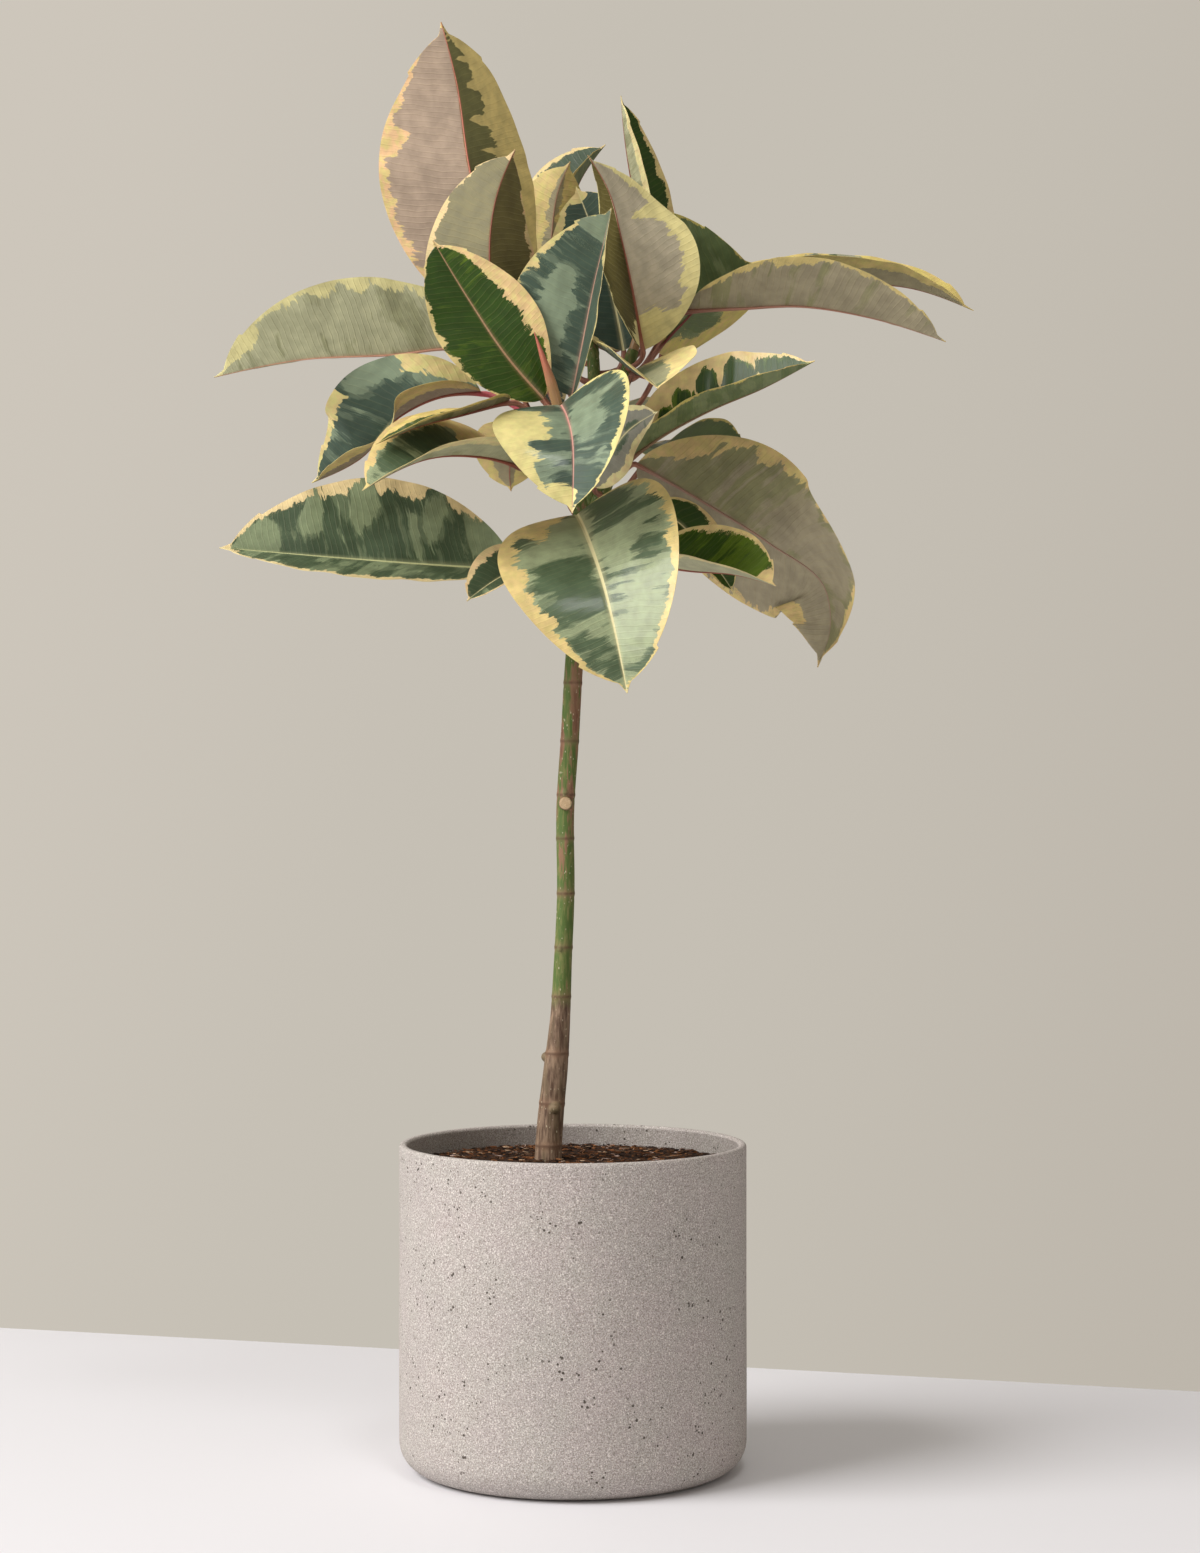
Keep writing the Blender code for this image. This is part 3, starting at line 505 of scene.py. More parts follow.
LEAVES = {
    # left branch, from its foot up
    "leaf_left_1": leaf(
        "left", 0.12,
        ((-4, -30, 8), (3, -75, -9), (19, -135, -60), (30, -155, -110), (35, -160, -137)),
        (0, -0.7, 0.7), 150, (34, 4), curl=(5, -8), fullness=0.86, top="sage",
        margin=(0.11, 0.20), pale=(0.02, -0.10),
        patches=(("cream", 0.12, 0.62, 0.16, 0.30), ("pale", 0.40, -0.30, 0.16, 0.35),
                 ("pale", 0.80, -0.35, 0.10, 0.50), ("dark", 0.55, 0.35, 0.20, 0.45),
                 ("dark", 0.18, -0.45, 0.14, 0.45), ("pale", 0.20, 0.20, 0.14, 0.30)),
        rib_width=0.026, blush=(0.1, 0.2), ripple=0.2),
    "leaf_left_2": leaf(
        "left", 0.50, ((-44, -26, 6), (-75, -55, 10), (-112, -85, 5), (-161, -110, -22)),
        (0, -0.31, 0.95), 100, (26, 30), top="sage", under="grey", margin=(0.2, 0.28),
        pale=(0.2, 0.0),
        patches=(("dark", 0.45, 0.42, 0.22, 0.30), ("dark", 0.80, 0.30, 0.16, 0.40),
                 ("cream", 0.20, 0.45, 0.12, 0.30)),
        under_margin=(0.35, 0.2)),
    "leaf_left_3": leaf(
        "left", 0.62,
        ((-44, 14, 66), (-60, 10, 120), (-65, 10, 165), (-60, 15, 210), (-45, 20, 250)),
        (0.25, 0.9, 0.1), 116, (66, 6), under_margin=(0.07, 0.06),
        under_pale=(-0.8, 0.8), rib_under=(128, 66, 50), blush=(0.7, 0.3)),
    "leaf_left_4": leaf(
        "left", 0.66, ((2, 6, 46), (10, 0, 85), (20, -5, 135), (29, -15, 172), (33, -25, 190)),
        (-0.15, -0.95, 0.2), 128, (5, 66), curl=(0, 10), fullness=0.82, top="blue",
        margin=(0.09, 0.13), pale=(-0.30, -0.55),
        patches=(("pale", 0.42, -0.45, 0.22, 0.22), ("pale", 0.93, 0.0, 0.14, 1.0),
                 ("cream", 0.82, 0.75, 0.10, 0.5), ("cream", 0.16, -0.9, 0.12, 0.3)),
        rib_top=(196, 158, 140)),
    "leaf_left_5": leaf(
        "left", 0.78, ((-44, -36, 24), (-80, -60, 10), (-110, -75, 0), (-145, -80, -15)),
        (0, 0.17, 0.98), 70, (12, 12), tip_face=(0.1, -0.2, 0.95), top="yellow", under="straw",
        under_margin=(0.28, 0.28), margin=(0.4, 0.4)),
    "leaf_left_6": leaf(
        "left", 0.85,
        ((-66, 20, 30), (-100, 15, 25), (-130, 15, 10), (-162, 10, -25), (-200, 10, -44)),
        (0.1, -0.5, 0.85), 104, (45, 46), fullness=1.08, top="blue", under="mauve", ripple=0.4,
        margin=(0.16, 0.18), pale=(-0.3, -0.35),
        patches=(("pale", 0.12, 0.55, 0.16, 0.6), ("cream", 0.14, 0.75, 0.10, 0.30),
                 ("cream", 0.30, 0.95, 0.14, 0.30), ("pale", 0.42, 0.85, 0.12, 0.3)),
        under_margin=(0.55, 0.5), under_pale=(0.6, 0.6),
        stalk=((196, 78, 92), (214, 120, 124))),
    "leaf_left_7": leaf(
        "left", 0.90, ((0, -24, 8), (5, -60, -5), (10, -99.4, -30), (10, -124.4, -85)),
        (0, -0.6, 0.8), 120, (38, 10), curl=(8, -10), top="blue", margin=(0.10, 0.26),
        pale=(-0.25, 0.12),
        patches=(("cream", 0.42, 0.72, 0.28, 0.38), ("dark", 0.12, 0.45, 0.10, 0.7),
                 ("dark", 0.62, 0.30, 0.06, 0.4), ("dark", 0.86, 0.1, 0.08, 0.5),
                 ("pale", 0.45, -0.25, 0.22, 0.28), ("cream", 0.92, 0.4, 0.08, 0.6)),
        rib_top=(206, 150, 138), blush=(0.1, 0.1), ripple=0.15),
    "leaf_left_8": leaf(
        "left", 0.97, ((-12, 0, 8), (-40, -2, 40), (-70, 4, 85), (-100, 10, 135)),
        (0.15, -0.88, 0.4), 90, (10, 8), top="vivid", margin=(0.05, 0.34), pale=(-0.36, -0.30),
        patches=(("dark", 0.20, 0.60, 0.12, 0.26),), rib_top=TAN, ripple=0.4, blush=(0.1, 0.5),
        shine=0.35),
    # right branch, from its foot up
    "leaf_right_1": leaf(
        "right", 0.10, ((40, 0, 6), (65, 0, 5), (90, -5, -20), (115, -10, -55)),
        (0.4, -0.8, 0.5), 48, (20, 20), top="vivid", margin=(0.14, 0.14), pale=(-0.6, -0.6),
        ripple=0.4),
    "leaf_right_2": leaf(
        "right", 0.25, ((-6, -30, 6), (5, -45, 25), (20, -60, 45), (45, -75, 60)),
        (-0.1, -0.9, 0.4), 50, (12, 12), top="grey", margin=(0.30, 0.34), pale=(0.35, 0.35),
        ripple=0.4,
        patches=(("dark", 0.5, 0.15, 0.14, 0.22), ("dark", 0.72, -0.1, 0.10, 0.2),
                 ("dark", 0.3, -0.1, 0.08, 0.2)),
        under="mauve", under_pale=(0.6, 0.6), under_margin=(0.3, 0.3)),
    "leaf_right_3": leaf(
        "right", 0.35,
        ((24, 6, 12), (75, 0, -18), (130, -5, -53), (175, -10, -90), (180, -5, -118),
         (170, 5, -153)),
        (0.3, 0.8, 0.5), 142, (12, 26), tip_fold=(4, -95), under="brown",
        under_margin=(0.08, 0.15), under_pale=(0.5, -0.3),
        under_patches=(("cream", 0.10, 0.85, 0.12, 0.35), ("pale", 0.62, 0.5, 0.22, 0.5),
                       ("cream", 0.80, -0.80, 0.08, 0.25)),
        rib_under=(158, 124, 108), ripple=0.2),
    "leaf_right_4": leaf(
        "right", 0.45,
        ((14, -22, -2), (40, -30, 15), (80, -40, 35), (120, -55, 50), (160, -65, 70)),
        (-0.35, -0.3, 0.87), 94, (44, 30), top="vivid", under="green", margin=(0.80, 0.3),
        pale=(-0.6, -0.6),
        patches=(("dark", 0.86, -0.45, 0.13, 0.50), ("dark", 0.62, -0.48, 0.09, 0.40),
                 ("dark", 0.47, -0.45, 0.05, 0.36), ("dark", 0.35, -0.4, 0.05, 0.28),
                 ("dark", 0.24, -0.35, 0.04, 0.20)),
        under_margin=(0.08, 0.06), under_pale=(0.1, 0.1), rib_under=(140, 112, 84)),
    "leaf_right_5": leaf(
        "right", 0.66, ((42, 62, 92), (27, 58, 145), (15, 50, 195), (8, 40, 236), (5, 35, 267)),
        (0.8, -0.5, 0.1), 78, (50, 20), top="vivid", under="grey", margin=(0.10, 0.12),
        pale=(-0.8, -0.8), under_margin=(0.4, 0.3)),
    "leaf_right_6": leaf(
        "right", 0.72, ((12, -38, 22), (15, -70, 15), (25, -110, 5), (30, -140, -5)),
        (0, -0.1, 1), 96, (30, 36), top="straw", under="slate", margin=(0.55, 0.7),
        pale=(0.1, 0.1), under_margin=(0.12, 0.12), under_pale=(-0.3, -0.3)),
    "leaf_right_7": leaf(
        "right", 0.86, ((26, 14, 24), (45, 25, 45), (70, 25, 70), (90, 20, 85), (105, 15, 95)),
        (-0.2, 0.9, 0.3), 168, (52, 0), fullness=1.5, under="green",
        under_margin=(0.75, 0.05), under_pale=(-0.3, -0.25),
        under_patches=(("dark", 0.45, -0.35, 0.16, 0.35), ("cream", 0.04, 0.3, 0.10, 0.6)),
        rib_under=(112, 46, 40)),
    "leaf_right_8": leaf(
        "right", 0.88,
        ((50, -12, 50), (90, -20, 50), (140, -30, 50), (195, -35, 40), (255, -40, 20)),
        (0, 0.2, 0.98), 98, (20, 28), curl=(0, 8), under="brown",
        under_margin=(0.05, 0.07), under_pale=(0.2, 0.15), rib_under=(158, 112, 94),
        blush=(0.0, 0.0)),
    "leaf_right_9": leaf(
        "right", 0.90,
        ((12, -26, 12), (5, -45, 50), (-5, -60, 95), (-16, -65, 134), (-32, -70, 160)),
        (-0.1, 0.95, 0.2), 124, (2, 70), curl=(0, 10), tip_fold=(75, 80), top="vivid",
        under="beige", under_margin=(0.24, 0.05), under_pale=(0.9, -0.9),
        under_patches=(("cream", 0.05, -0.4, 0.14, 0.9), ("cream", 0.66, -0.85, 0.05, 0.5),
                       ("dark", 0.30, -1.2, 0.02, 0.2)),
        rib_under=(134, 76, 58), blush=(0.0, 0.0)),
    # back branch, from its foot up
    "leaf_back_1": leaf(
        "back", 0.10, ((28, 30, 10), (70, 80, 10), (120, 130, -5), (170, 160, -45)),
        (0.2, 0.1, 1), 98, (15, 15)),
    "leaf_back_2": leaf(
        "back", 0.12, ((-30, 28, 68), (-50, 60, 66), (-65, 90, 54), (-65, 105, 32)),
        (0, 0.5, 0.85), 80, (10, 10), top="yellow", under="straw", under_margin=(0.5, 0.8),
        under_pale=(0.4, 0.4), under_patches=(("pale", 0.5, 0.0, 0.3, 0.5),)),
    "leaf_back_3": leaf(
        "back", 0.20, ((50, 50, 42), (75, 80, 55), (105, 105, 60), (130, 120, 55)),
        (0, 0.3, 0.95), 66, (20, 20), under="green", under_margin=(0.05, 0.05),
        under_pale=(-0.7, -0.7)),
    "leaf_back_4": leaf(
        "back", 0.42,
        ((-56, -26, 94), (-75, -25, 135), (-100, -30, 225), (-111, -30, 297), (-123, -35, 343)),
        (0.05, 0.95, 0.2), 150, (55, 4), fullness=1.12, top="sage", under="mauve",
        under_margin=(0.52, 0.09), under_pale=(-0.9, 0.9),
        under_patches=(("cream", 0.66, 0.97, 0.05, 0.28), ("cream", 0.60, -0.45, 0.009, 0.26),
                       ("cream", 0.70, -0.42, 0.012, 0.30), ("cream", 0.80, -0.42, 0.010, 0.30),
                       ("cream", 0.88, -0.45, 0.010, 0.30)),
        blush=(0.0, 0.7), rib_under=(188, 112, 94)),
    "leaf_back_5": leaf(
        "back", 0.45, ((-34, 46, 36), (-75, 95, 75), (-120, 135, 100), (-175, 170, 110)),
        (0.1, 0.1, 1), 96, (15, 15)),
    "leaf_back_6": leaf(
        "back", 0.50,
        ((-84, 2, 66), (-110, 0, 70), (-165, 0, 65), (-240, -5, 60), (-310, -10, 45)),
        (0, 0.57, 0.82), 128, (42, 42), top="blue", under="grey", under_margin=(0.13, 0.1),
        under_pale=(0.1, 0.1), under_patches=(("cream", 0.92, -0.9, 0.10, 0.5),),
        rib_under=(180, 132, 108), blush=(0.0, 0.0)),
    "leaf_back_7": leaf(
        "back", 0.58, ((-24, 46, 32), (-55, 80, 80), (-90, 110, 140), (-115, 125, 190)),
        (0.3, -0.5, 0.8), 108, (15, 15), top="blue"),
    "leaf_back_8": leaf(
        "back", 0.65, ((2, 40, -8), (5, 90, 0), (5, 150, -20), (5, 190, -65)), (0, 0.3, 0.95),
        100, (15, 15), top="sage", pale=(0.1, 0.0), under="grey"),
    "leaf_back_9": leaf(
        "back", 0.70, ((24, -2, 30), (15, 0, 75), (0, 0, 125), (-15, 0, 165)),
        (-0.1, -0.95, 0.2), 98, (15, 25), top="blue", margin=(0.22, 0.08), pale=(-0.8, -0.8),
        patches=(("cream", 0.97, 0.0, 0.06, 1.0), ("dark", 0.5, 0.2, 0.3, 0.5)), under="straw"),
    "leaf_back_10": leaf(
        "back", 0.72,
        ((-30, 8, 46), (-35, 10, 85), (-35, 15, 125), (-30, 15, 160), (-20, 15, 185)),
        (0.35, 0.9, 0.1), 100, (60, 8), top="yellow", under="straw", under_margin=(0.92, 0.86),
        under_pale=(0.3, 0.3),
        under_patches=(("pale", 0.30, 0.35, 0.10, 0.30), ("pale", 0.22, -0.3, 0.12, 0.30)),
        rib_under=(160, 120, 96)),
    "leaf_back_11": leaf(
        "back", 0.76,
        ((80, 45, 62), (140, 45, 79), (205, 35, 80), (265, 30, 75), (315, 20, 55)),
        (0, -0.35, 0.93), 100, (18, 38), top="yellow", under="straw", margin=(0.62, 0.5),
        pale=(-0.8, -0.5),
        patches=(("dark", 0.32, -0.55, 0.10, 0.30), ("dark", 0.52, -0.75, 0.14, 0.22),
                 ("dark", 0.76, -0.55, 0.04, 0.2)),
        under_margin=(0.35, 0.35), under_pale=(0.5, 0.5), blush=(0.2, 0.2)),
    "leaf_back_12": leaf(
        "back", 0.82, ((-22, 62, 60), (-20, 71, 110), (-15, 81, 155), (10, 86, 195)),
        (-0.35, -0.9, 0.2), 100, (4, 70), margin=(0.13, 0.10), pale=(-0.8, -0.8),
        under="green"),
    "leaf_back_13": leaf(
        "back", 0.90, ((24, 38, 4), (45, 70, 40), (60, 95, 65), (70, 110, 90)),
        (-0.3, -0.5, 0.8), 92, (15, 15), top="sage"),
    # trunk, just below the fork
    "leaf_trunk_1": leaf(
        "trunk", 0.90, ((-52, -6, 30), (-120, -10, 34), (-190, -15, 39), (-287, -20, 47)),
        (0, -0.55, 0.83), 146, (19, 38), top="peach", margin=(0.10, 0.17), pale=(-0.2, -0.30),
        patches=(("pale", 0.86, 0.35, 0.10, 0.4), ("pale", 0.06, 0.6, 0.10, 0.5),
                 ("pale", 0.28, 0.70, 0.04, 0.35), ("pale", 0.52, 0.70, 0.05, 0.35),
                 ("pale", 0.70, 0.60, 0.04, 0.4)),
        rib_top=(196, 198, 148), rib_width=0.018, under="grey", blush=(0.0, 0.05)),
    "leaf_trunk_2": leaf(
        "trunk", 0.93, ((-22, -18, 22), (-45, -45, 15), (-65, -60, 4), (-88, -75, -14)),
        (0, -0.5, 0.85), 60, (20, 20), top="peach", margin=(0.16, 0.24), pale=(-0.4, -0.4),
        under="grey"),
    "leaf_trunk_3": leaf(
        "trunk", 0.95, ((6, 42, 14), (10, 100, 10), (15, 150, -10), (15, 175, -45)),
        (0, 0.3, 0.95), 92, (15, 15)),
    "leaf_trunk_4": leaf(
        "trunk", 0.98, ((38, -34, -4), (85, -65, -15), (120, -90, -20), (150, -110, -30)),
        (0, -0.35, 0.93), 98, (34, 30), top="vivid", under="grey", margin=(0.12, 0.12),
        pale=(0.0, 0.05), patches=(("cream", 0.95, 0.0, 0.07, 1.0),), under_margin=(0.2, 0.2),
        under_pale=(0.3, 0.3)),
}

# Places across a blade, close together at the midrib and at the edges.
ACROSS = np.array((-1, -0.95, -0.87, -0.77, -0.66, -0.55, -0.44, -0.34, -0.24, -0.155, -0.085,
                   -0.035, 0))
ACROSS = np.concatenate([ACROSS, -ACROSS[-2::-1]])
BLADE_ROWS = 80
BLADE_HALF = 0.36 * MM         # half of a blade's thickness at the midrib
EDGE_THINNING = 0.24 * MM
RIPPLES = (0.031, 0.054)       # lengths of the edge's waves
VEIN_GAP = 0.0125
DRIP_TIP = 0.88                # place where the drip tip starts
STALK_ROWS = 15
STALK_SIDES = 10
STALK_CLEARANCE = 0.05 * MM
CURL_STEPS = 6


def half_width(places, fullness):
    """Half width of a blade over its widest: a broad ellipse that ends in a drip tip."""
    body = np.maximum(np.sin(pi * np.minimum(places / FULL_BLADE, 1) ** fullness), 0) ** 0.64
    return np.hypot(body, np.where(places > DRIP_TIP, 1.7 * (1 - places), 0))


def by_half(across, pair):
    """The pair's first value on the blade's left half and its second on the right half."""
    return np.where(across > 0, pair[1], pair[0])


def zone_lean(share_along, across, margins, levels, patches, zone):
    """How far each point leans to a zone, from its margins, base, tip and patches."""
    edge = np.abs(across)
    margin = by_half(across, margins)
    if zone == "cream":
        lean = np.maximum(2.6 * (edge - 1 + margin), 7 * (share_along - 0.965))
    else:
        level = by_half(across, levels)
        lean = np.maximum(level, level + 2.2 * (edge - 1 + margin))
    for kind, along_at, across_at, along_reach, across_reach in patches:
        distance = np.hypot((share_along - along_at) / along_reach,
                            (across - across_at) / across_reach)
        if kind == zone:
            lean = np.maximum(lean, 0.9 * (1 - distance))
        elif kind == "dark" or (kind == "pale" and zone == "cream"):
            lean = np.minimum(lean, 0.9 * (distance - 1))
    return lean


def build_leaf(name, shape, stems, finishes, seed):
    """A blade as a thin folded sheet with two sides and an edge, its stalk, and the ridge
    of the midrib under it."""
    stem = stems[shape["on"]]
    root = stem.at(shape["at"])[0]
    rib = Line(root + np.array(shape["rib"]) * MM)
    x = np.linspace(0, 1, BLADE_ROWS)
    places = 0.0005 + 0.9995 * (0.55 * x + 0.45 * (0.5 - 0.5 * np.cos(pi * x)))
    middle = rib.at(places)
    along = rib.direction(places)
    face = (1 - places)[:, None] * unit(shape["face"]) + places[:, None] * unit(shape["tip_face"])
    side = unit(np.cross(along, face))
    up = np.cross(side, along)
    width = shape["width"] / 2 * MM * half_width(places, shape["fullness"])
    width[-1] = 0.0006
    late = (places**2)[:, None]
    rows, columns = len(places), len(ACROSS)
    across = np.broadcast_to(ACROSS, (rows, columns))
    share_along = np.broadcast_to(places[:, None], (rows, columns))
    right = across > 0
    fold = by_half(across, shape["fold"]) * (1 - late) + by_half(across, shape["tip_fold"]) * late
    curl = by_half(across, shape["curl"])
    share = np.abs(across)
    out = np.zeros((rows, columns))
    rise = np.zeros((rows, columns))
    for step in range(CURL_STEPS):
        angle = np.radians(fold + curl * share * (step + 0.5) / CURL_STEPS)
        out += np.cos(angle) * share / CURL_STEPS
        rise += np.sin(angle) * share / CURL_STEPS
    own = np.random.default_rng(seed)
    turn = own.uniform(0, 2 * pi, 6)
    length = rib.length
    metres = share_along * length
    wave = (np.sin(metres / RIPPLES[0] * 2 * pi + turn[0] + 2.2 * right) * 0.5
            + np.sin(metres / RIPPLES[1] * 2 * pi + turn[1] + 3.1 * right) * 0.8)
    wave *= share**2.2 * shape["ripple"] * MM * np.sin(pi * np.minimum(share_along, 1)) ** 0.5
    quilt = np.sin((metres - 0.34 * share * width[:, None]) / VEIN_GAP * 2 * pi + turn[2])
    quilt = quilt * 0.13 * MM
    quilt *= np.sin(pi * share) * np.sin(pi * share_along)
    slope = np.radians(fold + curl * share)
    sign = np.sign(across)
    lift = wave + quilt
    out = out * width[:, None] - np.sin(slope) * lift
    rise = rise * width[:, None] + np.cos(slope) * lift
    sheet = (middle[:, None] + side[:, None] * (sign * out)[..., None]
             + up[:, None] * rise[..., None])
    normal = (side[:, None] * (-sign * np.sin(slope))[..., None]
              + up[:, None] * np.cos(slope)[..., None])
    half = BLADE_HALF - EDGE_THINNING * share**3
    valley = np.exp(-((across * width[:, None]) / (1.3 * MM)) ** 2) * 0.35 * MM * (1 - share_along)
    upper = sheet + normal * (half - valley)[..., None]
    under = sheet - normal * half[..., None]
    points = [upper.reshape(-1, 3), under.reshape(-1, 3)]
    count = rows * columns
    faces = [tuple(reversed(face)) for face in strip_faces(rows, columns)]
    sides = [0] * len(faces)
    faces += strip_faces(rows, columns, count)
    sides += [1] * (len(faces) - len(sides))
    for row in range(rows - 1):
        for column, flip in ((0, False), (columns - 1, True)):
            a = row * columns + column
            quad = (a, a + columns, a + columns + count, a + count)
            faces.append(tuple(reversed(quad)) if flip else quad)
            sides.append(0)
    for row, flip in ((0, True), (rows - 1, False)):
        for column in range(columns - 1):
            a = row * columns + column
            quad = (a, a + 1, a + 1 + count, a + count)
            faces.append(quad if not flip else tuple(reversed(quad)))
            sides.append(0)

    # stalk, and the midrib ridge under the blade
    axis = stem.direction(shape["at"])[0]
    away = rib.at(0)[0] - root
    away = unit(away - axis * away.dot(axis))
    start = root + away * (TRUNK_RADIUS * stem.value(shape["at"]) * 0.55)
    end = middle[0] - up[0] * (PETIOLE_RADIUS + STALK_CLEARANCE)
    reach = np.linalg.norm(end - start) * 0.9
    u = np.linspace(0, 1, STALK_ROWS + 1)[:-1, None]
    stalk = bow(u, start, end, away, along[0], reach)
    ridge_radius = PETIOLE_RADIUS * (0.07 + 0.53 * (1 - places) ** 1.3
                                     + 0.40 * np.exp(-places / 0.06))
    ridge = middle - up * (ridge_radius + STALK_CLEARANCE)[:, None]
    path = np.concatenate([stalk, ridge[::2]])
    flare = (1 + 0.35 * np.exp(-((u[:, 0] - 0.06) / 0.09) ** 2)
             + 0.12 * np.exp(-((u[:, 0] - 1.0) / 0.12) ** 2))
    radii = np.concatenate([PETIOLE_RADIUS * flare, ridge_radius[::2]])
    above = np.concatenate([np.repeat(up[:1], len(stalk), axis=0), up[::2]])
    points.append(tube_points(path, radii, STALK_SIDES, above))
    faces += tube_faces(len(path), STALK_SIDES, 2 * count)
    sides += [2] * (len(faces) - len(sides))

    points = np.concatenate(points)
    item = add_mesh(name.replace("leaf", "blade"), points, faces)
    mesh = item.data
    for finish in finishes:
        mesh.materials.append(finish)
    mesh.polygons.foreach_set("material_index", np.array(sides, np.int32))
    stalk_count = len(points) - 2 * count
    around = np.tile(np.arange(STALK_SIDES) / STALK_SIDES, len(path))
    travel = np.concatenate([[0], np.cumsum(np.linalg.norm(np.diff(path, axis=0), axis=1))])
    stalk_uv = np.column_stack([np.repeat(travel, STALK_SIDES) * 10, around * 0.14])
    blade_uv = np.column_stack([metres.ravel() * 10, (across * width[:, None]).ravel() * 10])
    give_uv(mesh, "blade", np.concatenate([blade_uv, blade_uv, stalk_uv]))
    top = (shape["margin"], shape["pale"], shape["patches"])
    bottom = (shape["under_margin"], shape["under_pale"], shape["under_patches"])
    zeros = np.zeros(stalk_count)
    for zone in ("cream", "pale"):
        leans = [zone_lean(share_along, across, *about, zone).ravel()
                 for about in (top, bottom)]
        give_values(mesh, zone + " lean", np.concatenate([*leans, zeros]))
    total = len(points)
    give_values(mesh, "seed", np.full(total, (seed * 7.31) % 50))
    give_values(mesh, "length", np.full(total, length * 10))
    blush = by_half(across, shape["blush"]).ravel()
    give_values(mesh, "blush", np.concatenate([blush, blush, zeros]))
    give_values(mesh, "rib width", np.full(total, shape["rib_width"]))
    give_values(mesh, "shine", np.full(total, shape["shine"]))
    tones = UPPER[shape["top"]], UNDER[shape["under"]]
    # the stalk's tones turn into the midrib's over the first part of the ridge
    turned_to_rib = np.clip((np.arange(len(path)) - len(stalk)) / 5, 0, 1)
    turned_to_rib = np.repeat(turned_to_rib, STALK_SIDES)[:, None]
    rib_tone = np.array(srgb(*shape["rib_under"]))
    for number, field in enumerate(("dark", "pale", "cream")):
        stalk_tone = np.array(srgb(*shape["stalk"][min(number, 1)]))
        ridge_tone = np.clip(rib_tone * (1.0 if number == 0 else 1.25), 0, 1)
        give_colours(mesh, field, np.concatenate([
            *(np.tile(srgb(*tone[number]), (count, 1)) for tone in tones),
            stalk_tone * (1 - turned_to_rib) + ridge_tone * turned_to_rib]))
    parts = (("rib_top", count), ("rib_under", count + stalk_count))
    give_colours(mesh, "rib", np.concatenate([np.tile(srgb(*shape[key]), (many, 1))
                                              for key, many in parts]))
    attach(item, "root")
    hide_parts(name)


# ---- trunk, branches and sheaths ------------------------------------------------------------

TRUNK_LINE = (
    (-21, 0.00, 1.50), (-18, 0.10, 1.40), (-14, 0.18, 1.30), (-10, 0.265, 1.07), (-8, 0.35, 0.99),
    (-6, 0.44, 0.98), (-6, 0.585, 0.98), (-2, 0.715, 0.98), (1, 0.815, 0.98), (5, 0.91, 0.99),
    (8, 1.00, 1.00),
)
BRANCH_LINES = {
    "left": (((0, 0, 0), 0.87), ((-3, -18, 35), 0.83), ((-11, -34, 73), 0.75),
             ((-20, -46, 107), 0.67)),
    "right": (((0, 0, 0), 0.87), ((14, 4, 37), 0.83), ((22, 8, 62), 0.80), ((24, 12, 94), 0.75),
              ((31, 16, 126), 0.69), ((41, 20, 159), 0.64)),
    "back": (((0, 0, 0), 0.87), ((6, 20, 38), 0.83), ((9, 40, 89), 0.77), ((9, 56, 141), 0.72),
             ((6, 72, 192), 0.67)),
}
# Leaf-scar rings on the trunk, as shares of its height, and the swollen places of the bark.
SCAR_RINGS = (0.060, 0.126, 0.204, 0.293, 0.370, 0.454, 0.540, 0.608, 0.692, 0.783, 0.865, 0.935)
BARK_KNOTS = (
    (0.120, -72, 0.62, 0.95), (0.198, 172, 0.52, 0.94), (0.368, -112, 0.36, 0.88),
    (0.612, -95, 0.34, 0.86),
)
# The pruned stub: its place as a share of the trunk, and its sizes in trunk radii.
STUB_SHARE = 0.595
STUB_RADIUS = 0.72
STUB_REACH = 1.75
TRUNK_RINGS, TRUNK_SIDES = 620, 40
BRANCH_RINGS, BRANCH_SIDES = 170, 36
STUB_RINGS, STUB_SIDES = 8, 18
BALL_RINGS, BALL_SIDES = 9, 16
WOOD_VOXEL = 0.0008


def stem_lines():
    trunk = [(x * MM, 0.0, TRUNK_FOOT_Z + TRUNK_RISE * share) for x, share, _ in TRUNK_LINE]
    lines = {"trunk": Line(trunk, [factor for _, _, factor in TRUNK_LINE])}
    fork = np.array(trunk[-1])
    for name, points in BRANCH_LINES.items():
        lines[name] = Line([fork + np.array(offset) * MM for offset, _ in points],
                           [factor for _, factor in points])
    return lines


def ringed(line, rows, sides, rings):
    """Tube along a stem with low leaf-scar rings and an uneven bark."""
    places = np.linspace(0, 1, rows)
    radii = TRUNK_RADIUS * line.value(places) * 0.99
    metres = places * line.length
    for ring in rings:
        gap = (places - ring) * line.length / MM
        ridge = 0.38 * MM * np.exp(-((gap / 1.6) ** 2))
        hollow = 0.16 * MM * np.exp(-(((gap + 3.0) / 1.4) ** 2))
        radii = radii + ridge - hollow
    angles = turns(sides)
    uneven = (np.sin(angles * 3 + metres[:, None] / 0.021) * 0.10
              + np.sin(angles * 5 - metres[:, None] / 0.013) * 0.06
              + np.sin(angles * 2 + metres[:, None] / 0.047) * 0.16) * MM
    return tube_points(line.at(places), radii[:, None] + uneven, sides, np.array((0.02, 1, 0)))


def ball(middle, radius):
    angles = np.linspace(0.001, pi - 0.001, BALL_RINGS)
    middles = np.array(middle) + np.outer(np.cos(angles), (0, 0, 1)) * radius
    return tube_points(middles, np.sin(angles) * radius, BALL_SIDES, np.array((0, 1, 0)))


